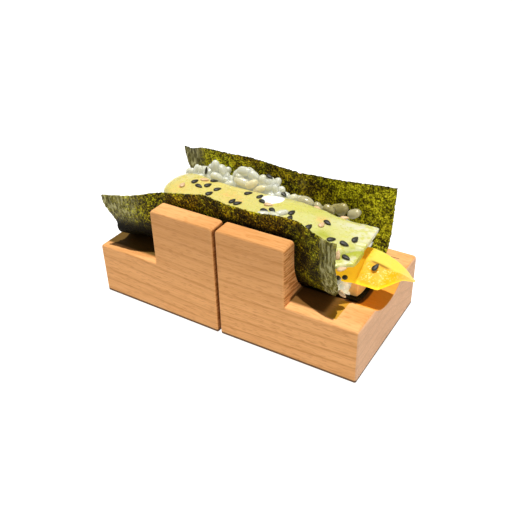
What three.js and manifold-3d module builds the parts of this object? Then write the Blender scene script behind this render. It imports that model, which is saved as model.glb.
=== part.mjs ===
// Temaki hand roll: a folded sheet of nori filled with rice, pale green and yellow slices and
// sesame, standing open side up in a wooden holder of two stepped blocks. Millimetres, +Z up.
// X runs along the roll, Y from its near leaf to its far leaf.
import * as THREE from "three";
import { mergeVertices } from "three/addons/utils/BufferGeometryUtils.js";
import Module from "manifold-3d";

// ---- driving dimensions -------------------------------------------------------------------
const CLEARANCE = 0.35;

// Holder: each block has a tall half at the seam and a low half at its outer end.
const BLOCK_LENGTH = 60;
const BLOCK_DEPTH = 57.6;
const LOW_HEIGHT = 24.2;
const TALL_HEIGHT = 49.2;
const TALL_LENGTH = 29.8;
const CORNER_ROUNDING = 1.5;
const FACE_BEVEL = 0.9;
const LEFT_BLOCK_GAP = 1.2;
const LEFT_BLOCK_OFFSET = -0.1;
const LEFT_BLOCK_TURN = -0.9;

// Groove: a U channel with a half-round bottom, cut along both blocks.
const GROOVE_RADIUS = 20.9;
const GROOVE_Y = BLOCK_DEPTH / 2;
const GROOVE_Z = 40.4;
const GROOVE_LIP = 1.1;

// Nori: one sheet, hung in the groove.
const NORI_THICKNESS = 0.8;
const NORI_RADIUS = 19.5;
const NORI_LEFT = -58;
const NORI_NEAR_RIGHT = 48.6;
const NORI_BOTTOM_RIGHT = 50.7;
const NEAR_TOP = 56.8;
const FAR_TOP = 54.2;
const FLARE = 6.2;
const NORI_COLUMNS = 34;
const NORI_ROWS = 28;

// Fillings, from the bottom of the roll to its top.
const RICE_LEFT = -45;
const RICE_RIGHT = 45;
const RICE_TOP = 37.4;
const RICE_BANK_Y = 44.1;
const RICE_BANK_WIDTH = 6.6;
const RICE_BANK_LOW = 42.6;
const GRAIN_LENGTH = 5.8;
const GRAIN_WIDTH = 3;
const STRIP_LEFT = -46;
const STRIP_RIGHT = 49.4;
const WEDGE_LEFT = -46.5;
const WEDGE_TIP = 69.3;
const SLICE_LEFT = 2;
const SLICE_RIGHT = 50.3;
const SLAB_LEFT = -43.5;
const SLAB_RIGHT = 50.2;
const SLAB_TOP = 48.5;
const SLAB_BOTTOM = 38.9;
const SESAME_LENGTH = 3.5;
const SESAME_WIDTH = 1.9;
const SESAME_THICKNESS = 1.1;

const wasm = await Module();
wasm.setup();

// ---- small helpers ------------------------------------------------------------------------
const lerp = THREE.MathUtils.lerp;
const ramp = THREE.MathUtils.smoothstep;

// A repeatable stream of numbers from 0 to 1.
function seededDraw(seed) {
  let state = seed;
  return () => {
    state = (state * 1664525 + 1013904223) % 4294967296;
    return state / 4294967296;
  };
}

function welded(geometry) {
  geometry.deleteAttribute("normal");
  geometry.deleteAttribute("uv");
  return mergeVertices(geometry, 1e-4);
}

function toSolid(geometry) {
  const closed = welded(geometry);
  const vertProperties = new Float32Array(closed.attributes.position.array);
  const triVerts = new Uint32Array(closed.index.array);
  return new wasm.Manifold(new wasm.Mesh({ numProp: 3, vertProperties, triVerts }));
}

function toGeometry(solid) {
  const mesh = solid.getMesh();
  const geometry = new THREE.BufferGeometry();
  geometry.setAttribute("position", new THREE.BufferAttribute(new Float32Array(mesh.vertProperties), 3));
  geometry.setIndex(new THREE.BufferAttribute(new Uint32Array(mesh.triVerts), 1));
  geometry.computeVertexNormals();
  return geometry;
}

function named(name, geometry, color, roughness) {
  geometry.computeVertexNormals();
  const mesh = new THREE.Mesh(geometry, new THREE.MeshStandardMaterial({ color, roughness, metalness: 0 }));
  mesh.name = name;
  return mesh;
}

// A bar along X. outline(t, angle, reach) gives its skin at t from 0 (left end) to 1 (right end);
// reach is 1 on the skin and 0 at the middle of an end face.
function barAlongX(steps, sides, outline) {
  const geometry = new THREE.CylinderGeometry(1, 1, 1, sides, steps);
  const corners = geometry.attributes.position;
  for (let i = 0; i < corners.count; i += 1) {
    const up = corners.getX(i);
    const back = corners.getZ(i);
    const place = outline(corners.getY(i) + 0.5, Math.atan2(up, back), Math.hypot(up, back));
    corners.setXYZ(i, place.x, place.y, place.z);
  }
  return welded(geometry);
}

// A closed curve between a circle (power 2) and a rounded box (higher powers).
function roundedBoxPoint(angle, power) {
  const bend = (value) => Math.sign(value) * Math.abs(value) ** (2 / power);
  return { back: bend(Math.cos(angle)), up: bend(Math.sin(angle)) };
}

// ---- wooden holder ------------------------------------------------------------------------
// side is 1 for the right block and -1 for the left one.
function blockOutline(side) {
  const outline = new THREE.Shape();
  const turn = CORNER_ROUNDING;
  const corner = (fromX, fromZ, x, z, toX, toZ) => {
    outline.lineTo(side * fromX, fromZ);
    outline.quadraticCurveTo(side * x, z, side * toX, toZ);
  };
  outline.moveTo(side * turn, 0);
  corner(BLOCK_LENGTH - turn, 0, BLOCK_LENGTH, 0, BLOCK_LENGTH, turn);
  corner(BLOCK_LENGTH, LOW_HEIGHT - turn, BLOCK_LENGTH, LOW_HEIGHT, BLOCK_LENGTH - turn, LOW_HEIGHT);
  outline.lineTo(side * TALL_LENGTH, LOW_HEIGHT);
  corner(TALL_LENGTH, TALL_HEIGHT - turn, TALL_LENGTH, TALL_HEIGHT, TALL_LENGTH - turn, TALL_HEIGHT);
  corner(turn, TALL_HEIGHT, 0, TALL_HEIGHT, 0, TALL_HEIGHT - turn);
  corner(0, turn, 0, 0, turn, 0);
  return outline;
}

// The channel's section, with its two top lips eased outwards.
function grooveOutline() {
  const outline = new THREE.Shape();
  const above = TALL_HEIGHT + 10;
  const mouth = GROOVE_RADIUS + GROOVE_LIP;
  outline.moveTo(GROOVE_Y - mouth, above);
  outline.lineTo(GROOVE_Y - mouth, TALL_HEIGHT);
  outline.quadraticCurveTo(
    GROOVE_Y - GROOVE_RADIUS, TALL_HEIGHT, GROOVE_Y - GROOVE_RADIUS, TALL_HEIGHT - GROOVE_LIP);
  outline.lineTo(GROOVE_Y - GROOVE_RADIUS, GROOVE_Z);
  outline.absarc(GROOVE_Y, GROOVE_Z, GROOVE_RADIUS, Math.PI, 2 * Math.PI, false);
  outline.lineTo(GROOVE_Y + GROOVE_RADIUS, TALL_HEIGHT - GROOVE_LIP);
  outline.quadraticCurveTo(
    GROOVE_Y + GROOVE_RADIUS, TALL_HEIGHT, GROOVE_Y + mouth, TALL_HEIGHT);
  outline.lineTo(GROOVE_Y + mouth, above);
  return outline;
}

function blockGeometry(side) {
  const body = new THREE.ExtrudeGeometry(blockOutline(side), {
    depth: BLOCK_DEPTH - 2 * FACE_BEVEL,
    bevelThickness: FACE_BEVEL,
    bevelSize: FACE_BEVEL,
    bevelOffset: -FACE_BEVEL,
    bevelSegments: 2,
    curveSegments: 3,
  });
  body.rotateX(Math.PI / 2);
  body.translate(0, BLOCK_DEPTH - FACE_BEVEL, 0);
  const groove = new THREE.ExtrudeGeometry(grooveOutline(), {
    depth: 2 * BLOCK_LENGTH + 40,
    bevelEnabled: false,
    curveSegments: 18,
  });
  groove.applyMatrix4(new THREE.Matrix4().makeBasis(
    new THREE.Vector3(0, 1, 0), new THREE.Vector3(0, 0, 1), new THREE.Vector3(1, 0, 0)));
  groove.translate(-BLOCK_LENGTH - 20, 0, 0);
  return toGeometry(toSolid(body).subtract(toSolid(groove)));
}

function makeHolder() {
  const beech = 0xd9a777;
  const right = named("holder_block_right", blockGeometry(1), beech, 0.6);
  const left = named("holder_block_left", blockGeometry(-1), beech, 0.6);
  left.position.set(-LEFT_BLOCK_GAP, LEFT_BLOCK_OFFSET, 0);
  left.rotation.z = THREE.MathUtils.degToRad(LEFT_BLOCK_TURN);
  return [right, left];
}

// ---- nori ---------------------------------------------------------------------------------
// across runs from -1 at the near leaf's top edge, over 0 at the bottom, to 1 at the far top edge.
function noriLeftEdge(across) {
  const nearTuck = 2.1 * Math.exp(-(((across + 0.66) / 0.16) ** 2));
  return NORI_LEFT + nearTuck + 13.5 * ramp(across, -0.35, 0.65) - 6.5 * ramp(across, 0.7, 1);
}

function noriRightEdge(across) {
  const tuck = Math.exp(-(((across + 0.27) / 0.16) ** 2));
  const nearEdge = NORI_NEAR_RIGHT - 6.1 * tuck;
  const restEdge = NORI_BOTTOM_RIGHT + 1.5 * Math.max(across, 0);
  return lerp(nearEdge, restEdge, ramp(across, -0.27, -0.17));
}

function nearTopAt(x) {
  const leftDrop = 8.7 * (Math.max(-12 - x, 0) / 46) ** 0.9;
  const rightDrop = 0.6 * ramp(x, 30, 40);
  return NEAR_TOP - leftDrop - rightDrop;
}

function farTopAt(x) {
  const swell = 1.8 * Math.exp(-(((x + 13) / 13) ** 2)) + Math.exp(-(((x + 36) / 9) ** 2));
  const notch = 0.9 * Math.exp(-(((x - 9.8) / 3.2) ** 2));
  return FAR_TOP + swell - notch + 0.075 * Math.max(x - 12, 0) - 2.2 * ramp(-x, 38, 48);
}

// How far the near leaf leans out past the ends of the tall walls.
function nearFlareAt(x) {
  const toLeft = ramp(-x, 30, 48);
  const toRight = Math.sin((Math.PI / 2) * THREE.MathUtils.clamp((x - 30.3) / 19, 0, 1));
  return FLARE * Math.max(toLeft, toRight);
}

function noriPoint(along, across) {
  const x = lerp(noriLeftEdge(across), noriRightEdge(across), along);
  const isNear = across < 0;
  const quarter = (NORI_RADIUS * Math.PI) / 2;
  const top = isNear ? nearTopAt(x) : farTopAt(x);
  const run = Math.abs(across) * (quarter + top - GROOVE_Z);
  const angle = Math.min(run, quarter) / NORI_RADIUS;
  const outwards = isNear ? -1 : 1;
  let y = GROOVE_Y + outwards * NORI_RADIUS * Math.sin(angle);
  const z = GROOVE_Z - NORI_RADIUS * Math.cos(angle) + Math.max(run - quarter, 0);
  const height = 0.5 * ramp(z, LOW_HEIGHT, 31) + 0.5 * ramp(z, 33, 48);
  if (isNear) {
    y -= nearFlareAt(x) * height;
    y += 0.5 * Math.sin(x / 4.3) * ramp(Math.abs(x), 33, 45) * height;
  } else {
    y += 4.2 * ramp(-x, 38, 52) * ramp(z, 40, 54);
    y += 0.4 * Math.sin(x / 6.1) * ramp(z, 49, 54);
  }
  return new THREE.Vector3(x, y, z);
}

// A thin wavy solid: the same grid of triangles on both faces, closed by a narrow rim.
function makeNori() {
  const grid = new THREE.PlaneGeometry(1, 1, NORI_COLUMNS, NORI_ROWS);
  const perFace = grid.attributes.position.count;
  const perRow = NORI_COLUMNS + 1;
  const skin = new Float32Array(perFace * 2 * 3);
  const nudge = 0.002;
  for (let i = 0; i < perFace; i += 1) {
    const along = THREE.MathUtils.clamp(grid.attributes.position.getX(i) + 0.5, nudge, 1 - nudge);
    const across = THREE.MathUtils.clamp(grid.attributes.position.getY(i) * 2, -1 + nudge, 1 - nudge);
    const middle = noriPoint(along, across);
    const alongStep = noriPoint(along + nudge, across).sub(noriPoint(along - nudge, across));
    const acrossStep = noriPoint(along, across + nudge).sub(noriPoint(along, across - nudge));
    const inwards = alongStep.cross(acrossStep).normalize();
    middle.clone().addScaledVector(inwards, NORI_THICKNESS / 2).toArray(skin, i * 3);
    middle.clone().addScaledVector(inwards, -NORI_THICKNESS / 2).toArray(skin, (perFace + i) * 3);
  }
  const faces = [];
  const inner = Array.from(grid.index.array);
  for (let i = 0; i < inner.length; i += 3) {
    const [a, b, c] = inner.slice(i, i + 3);
    faces.push(a, b, c, perFace + a, perFace + c, perFace + b);
  }
  const edge = [];
  for (let i = 0; i < NORI_COLUMNS; i += 1) {
    edge.push(i);
  }
  for (let i = 0; i < NORI_ROWS; i += 1) {
    edge.push(NORI_COLUMNS + i * perRow);
  }
  for (let i = NORI_COLUMNS; i > 0; i -= 1) {
    edge.push(NORI_ROWS * perRow + i);
  }
  for (let i = NORI_ROWS; i > 0; i -= 1) {
    edge.push(i * perRow);
  }
  edge.forEach((a, i) => {
    const b = edge[(i + 1) % edge.length];
    faces.push(a, b, perFace + b, a, perFace + b, perFace + a);
  });
  const geometry = new THREE.BufferGeometry();
  geometry.setAttribute("position", new THREE.BufferAttribute(skin, 3));
  geometry.setIndex(faces);
  return named("nori_sheet", geometry, 0x3c4318, 0.6);
}

// ---- fillings -----------------------------------------------------------------------------
// A sesame seed or rice grain: an egg shape with few sides, pointed a little at one end.
function grain(length, width, thickness) {
  const egg = new THREE.SphereGeometry(1, 6, 4);
  egg.rotateZ(Math.PI / 2);
  const corners = egg.attributes.position;
  for (let i = 0; i < corners.count; i += 1) {
    const taper = 1 - 0.28 * corners.getX(i);
    corners.setY(i, corners.getY(i) * taper);
  }
  egg.scale(length / 2, width / 2, thickness / 2);
  return egg;
}

// The pale green slab that lies on top of everything.
function slabNearSide(x) {
  return 10.6 + 7.5 * ramp(-x, 22, 43) + 6 * ramp(x, 36, 43) + 6.2 * ramp(x, 43, 50);
}

function slabFarSide(x) {
  return 39.6 + 0.4 * Math.sin(x / 9) - 1.2 * ramp(x, 42, 50);
}

function slabTopAt(x) {
  return SLAB_TOP + 0.4 * Math.sin(x / 7.5) - 3.2 * ramp(x, 12, 52) - 1.2 * ramp(x, 40, 50);
}

function slabBottomAt(x) {
  return SLAB_BOTTOM + 2.5 * ramp(x, 40, 50);
}

function slabPoint(t, angle, reach, swell) {
  const leftRound = Math.sqrt(1 - (1 - Math.min(t / 0.09, 1)) ** 2);
  const x = lerp(SLAB_LEFT - swell, SLAB_RIGHT + swell, t);
  const near = slabNearSide(x);
  const far = slabFarSide(x);
  const section = roundedBoxPoint(angle, 2.8);
  const shrink = reach * lerp(leftRound, 1, 0.12);
  const halfWidth = (far - near) / 2 + swell;
  const top = slabTopAt(x);
  const bottom = slabBottomAt(x);
  const halfHeight = (top - bottom) / 2 + swell;
  const across = section.back * halfWidth * shrink;
  const tilt = 0.12 * ramp(x, 38, 50);
  return new THREE.Vector3(
    x,
    (near + far) / 2 + across,
    (top + bottom) / 2 + section.up * halfHeight * shrink + tilt * across);
}

function slabGeometry(swell) {
  return barAlongX(26, 22, (t, angle, reach) => slabPoint(t ** 1.15, angle, reach, swell));
}

// The thin slice below it, which shows past its cut corner at the right end.
function slicePoint(t, angle, reach, swell) {
  const x = lerp(SLICE_LEFT - swell, SLICE_RIGHT + swell, t);
  const section = roundedBoxPoint(angle, 2.8);
  const near = 10.3 + 4.4 * ramp(x, 44, 50.5);
  const far = 24.6;
  const y = (near + far) / 2 + section.back * ((far - near) / 2 + swell) * reach;
  const lean = 0.05 * (y - near);
  const endRound = Math.sqrt(1 - (1 - Math.min(t / 0.12, 1)) ** 2);
  const halfHeight = (1.35 + swell) * lerp(endRound, 1, 0.2);
  return new THREE.Vector3(x, y, 40.9 + lean + section.up * halfHeight * reach);
}

function sliceGeometry(swell) {
  return barAlongX(14, 16, (t, angle, reach) => slicePoint(t, angle, reach, swell));
}

// The yellow wedge: a four-sided bar whose end is cut to a point that hangs past the roll.
function wedgeCorners(x) {
  const share = Math.max(x - 50, 0) / (WEDGE_TIP - 50);
  const front = 16.9 + 10.1 * THREE.MathUtils.clamp((x - 59.2) / 5.6, 0, 1) + 0.9 * ramp(x, 64.8, WEDGE_TIP);
  const back = 34 - 6 * share ** 3;
  const ridge = 26.4 + 1.6 * ramp(x, 58, 65);
  const base = 31.5 + 0.8 * share ** 2;
  return [
    { y: back - 1.4 * (1 - share), z: base },
    { y: back, z: 38.1 - 5.6 * share ** 1.4 },
    { y: ridge, z: 37.3 - 4.8 * share ** 1.5 },
    { y: front, z: base },
  ];
}

function wedgePoint(t, angle, reach, swell) {
  const x = lerp(WEDGE_LEFT - swell, WEDGE_TIP + swell, t);
  const corners = wedgeCorners(Math.min(x, WEDGE_TIP - 0.8));
  const turn = ((angle / (2 * Math.PI)) + 1) % 1;
  const side = Math.min(Math.floor(turn * 4 + 1e-6), 3);
  const from = corners[side];
  const to = corners[(side + 1) % 4];
  const share = turn * 4 - side;
  const middle = { y: 0, z: 0 };
  corners.forEach((corner) => {
    middle.y += corner.y / 4;
    middle.z += corner.z / 4;
  });
  const y = lerp(from.y, to.y, share) - middle.y;
  const z = lerp(from.z, to.z, share) - middle.z;
  const grow = 1 + (1.5 * swell) / Math.max(Math.hypot(y, z), 1);
  return new THREE.Vector3(x, middle.y + y * grow * reach, middle.z + z * grow * reach);
}

function wedgeGeometry(swell) {
  return barAlongX(24, 12, (t, angle, reach) => wedgePoint(t, angle, reach, swell));
}

// The tan strip near the bottom of the roll.
function stripGeometry(swell) {
  return barAlongX(8, 14, (t, angle, reach) => {
    const section = roundedBoxPoint(angle, 3.4);
    return new THREE.Vector3(
      lerp(STRIP_LEFT - swell, STRIP_RIGHT + swell, t),
      27 + section.back * (6.4 + swell) * reach,
      26.1 + section.up * (3.5 + swell) * reach);
  });
}

// The space inside the nori, up to a height above the fillings.
function insideNori(top, fromX, toX) {
  const radius = NORI_RADIUS - NORI_THICKNESS / 2 - CLEARANCE;
  const start = Math.asin(Math.max(GROOVE_Z - top, 0) / radius);
  const outline = new THREE.Shape();
  outline.absarc(GROOVE_Y, GROOVE_Z, radius, Math.PI + start, 2 * Math.PI - start, false);
  if (top > GROOVE_Z) {
    outline.lineTo(GROOVE_Y + radius, top);
    outline.lineTo(GROOVE_Y - radius, top);
  }
  const core = new THREE.ExtrudeGeometry(outline, {
    depth: toX - fromX,
    bevelEnabled: false,
    curveSegments: 14,
  });
  core.applyMatrix4(new THREE.Matrix4().makeBasis(
    new THREE.Vector3(0, 1, 0), new THREE.Vector3(0, 0, 1), new THREE.Vector3(1, 0, 0)));
  core.translate(fromX, 0, 0);
  return core;
}

// Rice heaped between the slab and the far leaf, in a row of hills.
function bankTopAt(x) {
  const hill = (middle, height, width) => height * Math.exp(-(((x - middle) / width) ** 2));
  const leftHills = hill(-39, 3, 7) + hill(-28.5, 6.6, 5.5);
  const middleHills = hill(-11.5, 8.4, 9) + hill(0.5, 4.6, 4.2);
  const rightHills = hill(12.5, 1.8, 4.5) + hill(31, 3.2, 6.5);
  return RICE_BANK_LOW + leftHills + middleHills + rightHills;
}

function riceBankGeometry() {
  return barAlongX(24, 12, (t, angle, reach) => {
    const x = lerp(RICE_LEFT + 1.5, RICE_RIGHT - 1.5, t);
    const endRound = Math.sqrt(1 - (1 - Math.min(Math.min(t, 1 - t) / 0.05, 1)) ** 2);
    const section = roundedBoxPoint(angle, 2.6);
    const top = bankTopAt(x);
    const bottom = 34.5;
    const shrink = lerp(endRound, 1, 0.3) * reach;
    return new THREE.Vector3(
      x,
      RICE_BANK_Y + section.back * (RICE_BANK_WIDTH / 2) * shrink,
      (top + bottom) / 2 + section.up * ((top - bottom) / 2) * shrink);
  });
}

// Grains over the far bank, heaped higher on its hills, and over both ends of the rice.
function riceGrains() {
  const draw = seededDraw(11);
  const grains = [];
  const add = (x, y, z, pitch, turn) => {
    const one = grain(GRAIN_LENGTH, GRAIN_WIDTH, GRAIN_WIDTH);
    one.rotateY(pitch);
    one.rotateZ(turn);
    one.translate(x, y, z);
    grains.push(one);
  };
  const bankCount = 21;
  for (let i = 0; i < bankCount; i += 1) {
    const x = lerp(RICE_LEFT + 3.5, RICE_RIGHT - 3.5, (i + 0.5 * draw()) / bankCount);
    const top = bankTopAt(x);
    add(x, lerp(42.2, 43.4, draw()), top - 0.5 + 0.9 * draw(), lerp(-0.8, 0.8, draw()), lerp(-1, 1, draw()));
    add(x + 1.4, lerp(44.4, 45.6, draw()), top - 0.6 + 1.2 * draw(),
      lerp(-1.2, 1.2, draw()), lerp(-0.5, 0.5, draw()));
  }
  const ringCount = 6;
  [16.2, 12.4].forEach((out) => {
    for (let i = 0; i < ringCount; i += 1) {
      const angle = lerp(-2.95, -0.2, (i + 0.6 * draw()) / ringCount);
      const y = GROOVE_Y + out * Math.cos(angle);
      const z = GROOVE_Z + out * Math.sin(angle);
      add(RICE_LEFT, y, z, lerp(-0.5, 0.5, draw()), lerp(0.6, 2.4, draw()));
      add(RICE_RIGHT, y, z, lerp(-0.5, 0.5, draw()), lerp(0.6, 2.4, draw()));
    }
  });
  return grains;
}

function makeRice() {
  let rice = toSolid(insideNori(RICE_TOP, RICE_LEFT, RICE_RIGHT)).add(toSolid(riceBankGeometry()));
  riceGrains().forEach((one) => {
    rice = rice.add(toSolid(one));
  });
  rice = rice.intersect(toSolid(insideNori(NEAR_TOP, RICE_LEFT - 5, RICE_RIGHT + 5)));
  [slabGeometry, sliceGeometry, wedgeGeometry, stripGeometry].forEach((neighbour) => {
    rice = rice.subtract(toSolid(neighbour(CLEARANCE)));
  });
  const largest = rice.decompose().sort((a, b) => b.volume() - a.volume())[0];
  return named("rice_bed", toGeometry(largest), 0xe4e4d8, 0.45);
}

// Sesame seeds scattered over the slab in staggered rows.
function sesameOnSlab() {
  const draw = seededDraw(7);
  const seeds = [];
  const count = 24;
  for (let i = 0; i < count; i += 1) {
    const x = lerp(SLAB_LEFT + 7, SLAB_RIGHT - 5, (i + 0.6 * draw()) / count);
    const share = 0.3 + 0.62 * ((i * 0.37 + 0.3 * draw()) % 1);
    const y = lerp(slabNearSide(x), slabFarSide(x), share);
    const across = (share - 0.5) * 2;
    const top = slabTopAt(x);
    const halfHeight = (top - slabBottomAt(x)) / 2;
    const z = top - halfHeight + halfHeight * (1 - Math.abs(across) ** 2.8) ** (1 / 2.8);
    const seed = grain(SESAME_LENGTH, SESAME_WIDTH, SESAME_THICKNESS);
    seed.rotateX(-0.5 * across ** 3);
    seed.rotateZ(lerp(-1.4, 1.4, draw()));
    seed.translate(x, y, z + 0.1);
    seeds.push(seed);
  }
  return seeds;
}

function makeSlab() {
  let slab = toSolid(slabGeometry(0));
  sesameOnSlab().forEach((seed) => {
    slab = slab.add(toSolid(seed));
  });
  slab = slab.subtract(toSolid(sliceGeometry(CLEARANCE)));
  return named("pale_green_slab", toGeometry(slab), 0xe6e28c, 0.35);
}

function makeWedge() {
  const seedX = 56.5;
  const [, , crown, front] = wedgeCorners(seedX);
  const seed = grain(SESAME_LENGTH, SESAME_WIDTH, SESAME_THICKNESS);
  seed.rotateZ(1.1);
  seed.rotateX(Math.atan2(crown.z - front.z, crown.y - front.y));
  seed.translate(seedX, (crown.y + front.y) / 2, (crown.z + front.z) / 2);
  const wedge = toSolid(wedgeGeometry(0)).add(toSolid(seed));
  return named("yellow_wedge", toGeometry(wedge), 0xf6cf2d, 0.35);
}

// ---- the whole roll in its holder, its origin on the table below its middle -----------------
const roll = new THREE.Group();
roll.add(...makeHolder());
roll.add(makeNori());
roll.add(makeRice());
roll.add(named("tan_strip", stripGeometry(0), 0xc39a62, 0.5));
roll.add(makeWedge());
roll.add(named("pale_green_slice", sliceGeometry(0), 0xdfe29a, 0.35));
roll.add(makeSlab());

const bounds = new THREE.Box3().setFromObject(roll);
const middle = bounds.getCenter(new THREE.Vector3());
roll.position.set(-middle.x, -middle.y, -bounds.min.z);

export default roll;
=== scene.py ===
"""A temaki hand roll standing open side up in a wooden holder of two stepped blocks.

Metres, +Z up. X runs along the roll, Y from its near leaf to its far leaf.
Shapes are worked out in millimetres from the right block's near lower corner at the seam.
"""

import math
import random

import bmesh
import bpy
from mathutils import Matrix, Vector, noise


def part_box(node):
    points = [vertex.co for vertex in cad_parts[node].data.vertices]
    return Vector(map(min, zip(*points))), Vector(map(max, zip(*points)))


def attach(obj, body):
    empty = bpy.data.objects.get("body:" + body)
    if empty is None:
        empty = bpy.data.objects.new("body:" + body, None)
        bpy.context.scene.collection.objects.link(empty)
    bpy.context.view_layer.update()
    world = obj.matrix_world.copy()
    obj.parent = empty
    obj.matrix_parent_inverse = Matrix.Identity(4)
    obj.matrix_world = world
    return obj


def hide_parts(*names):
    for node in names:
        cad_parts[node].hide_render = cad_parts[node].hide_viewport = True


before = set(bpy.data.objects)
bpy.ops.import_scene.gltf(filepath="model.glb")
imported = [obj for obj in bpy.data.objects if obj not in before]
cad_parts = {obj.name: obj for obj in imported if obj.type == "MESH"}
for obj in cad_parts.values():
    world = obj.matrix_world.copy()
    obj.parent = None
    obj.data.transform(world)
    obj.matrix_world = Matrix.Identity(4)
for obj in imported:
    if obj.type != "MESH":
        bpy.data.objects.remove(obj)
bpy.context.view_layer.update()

# ---- sizes, in millimetres ----------------------------------------------------------------
MM = 0.001
SEAM_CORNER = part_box("holder_block_right")[0]

BLOCK_LENGTH = 60
BLOCK_DEPTH = 57.6
LOW_HEIGHT = 24.2
TALL_HEIGHT = 49.2
TALL_LENGTH = 29.8
PROFILE_ROUNDING = 1.5
EDGE_ROUNDING = 0.8
RIM_ROUNDING = 0.45
LEFT_BLOCK_GAP = 1.2
LEFT_BLOCK_OFFSET = -0.1
LEFT_BLOCK_TURN = math.radians(-0.9)
GROOVE_RADIUS = 20.9
GROOVE_Y = BLOCK_DEPTH / 2
GROOVE_Z = 40.4
GROOVE_STEPS = 45
CUTTER_OVERRUN = 10

NORI_THICKNESS = 0.45
NORI_COLUMNS = 210
NORI_ROWS = 150
NORI_RADIUS = 19.5
NORI_LEFT = -58
NORI_NEAR_RIGHT = 48.6
NORI_BOTTOM_RIGHT = 50.7
NEAR_TOP = 56.8
FAR_TOP = 54.2
FLARE = 6.2
CREASE_X = 41.5

RICE_LEFT = -45
RICE_RIGHT = 45
RICE_BANK_Y = 44.1
RICE_BANK_LOW = 42.6
RICE_BANK_FOOT = 34.5
RICE_BANK_HALF_WIDTH = 3.3
RICE_CLEARANCE = 1.2
GRAIN_CLEARANCE = 0.75
RICE_TOP = 37.4
GRAIN_LENGTH = 7.2
GRAIN_WIDTH = 3.7
STRIP_LEFT = -46
STRIP_RIGHT = 50.0
STRIP_Y = 27
STRIP_Z = 26.1
STRIP_HALF_WIDTH = 6.4
STRIP_HALF_UP = 3.5
STRIP_HALF_DOWN = 4.1
WEDGE_LEFT = -46.5
WEDGE_TIP = 69.3
WEDGE_TAPER = 50
WEDGE_FRONT = 16.9
WEDGE_RIDGE = 26.4
WEDGE_BACK = 34
WEDGE_BASE = 31.5
WEDGE_RIDGE_TOP = 37.3
WEDGE_BACK_TOP = 38.1
WEDGE_EASING = 0.012
SLICE_LEFT = 2
SLICE_RIGHT = 50.3
SLICE_FAR = 24.6
SLICE_MIDDLE_Z = 40.9
SLICE_HALF_THICKNESS = 1.35
SLAB_LEFT = -43.5
SLAB_RIGHT = 50.2
SLAB_NEAR = 10.6
SLAB_FAR = 39.6
SLAB_TOP = 48.5
SLAB_BOTTOM = 38.9
SLAB_ROUNDNESS = 2.8
SEED_LENGTH = 3.7
SEED_WIDTH = 2.6
SEED_THICKNESS = 1.4
LYING_LIFT = 0.3
SLOPE_STEP = 0.4

# ---- camera, floor and light --------------------------------------------------------------
EYE = (131.84, -179.98, 181.84)
VIEW_RIGHT = Vector((0.85423, 0.51923, -0.02633))
VIEW_DOWN = Vector((0.26256, -0.47456, -0.84015))
VIEW_AHEAD = Vector((-0.44873, 0.71077, -0.54171))
LENS = 49.05
SENSOR_WIDTH = 36
SUN_STRENGTH = 4.0
SUN_ANGLE = math.radians(1.4)
SKY_STRENGTH = 0.22
FLOOR_GLOW = 0.97
SIDE_POWER = 1.6
SIDE_SIZE = 0.45
SIDE_PLACE = (900, -330, 330)
SIDE_AIM = (20, 20, 25)
STUDIO_WHITE = (1, 0.985, 0.96, 1)
FLOOR_GREY = (0.3, 0.3, 0.3, 1)
FLOOR_HALF_SIZE = 3


def place(x, y, z):
    """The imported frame's point for millimetres from the seam corner."""
    return SEAM_CORNER + Vector((x, y, z)) * MM


def lerp(start, end, share):
    return start + (end - start) * share


def clamp(value, low=0.0, high=1.0):
    return min(max(value, low), high)


def ramp(value, low, high):
    """0 up to low, 1 from high on, eased between."""
    share = clamp((value - low) / (high - low))
    return share * share * (3 - 2 * share)


def hill(x, middle, height, width):
    """A soft bump of that height round the middle."""
    return height * math.exp(-(((x - middle) / width) ** 2))


def hills(x, each):
    """Several hills in one. Each is (middle, height, width)."""
    return sum(hill(x, *one) for one in each)


def spots(x, y, each):
    """Soft oval spots in one. Each is (middle x, middle y, height, width in x, width in y)."""
    return sum(height * math.exp(-(((x - middle_x) / wide_x) ** 2) - ((y - middle_y) / wide_y) ** 2)
               for middle_x, middle_y, height, wide_x, wide_y in each)


def plateau(x, start, full, fading, end):
    """1 from full to fading, easing to 0 at start and end."""
    return ramp(x, start, full) * (1 - ramp(x, fading, end))


def between(low, high, share):
    """From low at share -1 to high at share 1."""
    return (low + high) / 2 + share * (high - low) / 2


def end_round(share):
    """A quarter circle's rise from 0 to 1 while share goes from 0 to 1."""
    return math.sqrt(1 - (1 - min(share, 1)) ** 2)


def turned(heading, lean):
    """A turn about Z after a lift of the front end, both in degrees."""
    return Matrix.Rotation(math.radians(heading), 3, "Z") @ Matrix.Rotation(math.radians(-lean), 3, "Y")


def make_camera():
    camera = bpy.data.objects.new("camera", bpy.data.cameras.new("camera"))
    bpy.context.scene.collection.objects.link(camera)
    turn = Matrix((VIEW_RIGHT, -VIEW_DOWN, -VIEW_AHEAD)).transposed().to_4x4()
    camera.matrix_world = Matrix.Translation(place(*EYE)) @ turn
    camera.data.lens = LENS
    camera.data.sensor_fit = "HORIZONTAL"
    camera.data.sensor_width = SENSOR_WIDTH
    camera.data.clip_start = 0.01
    bpy.context.scene.camera = camera


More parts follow.
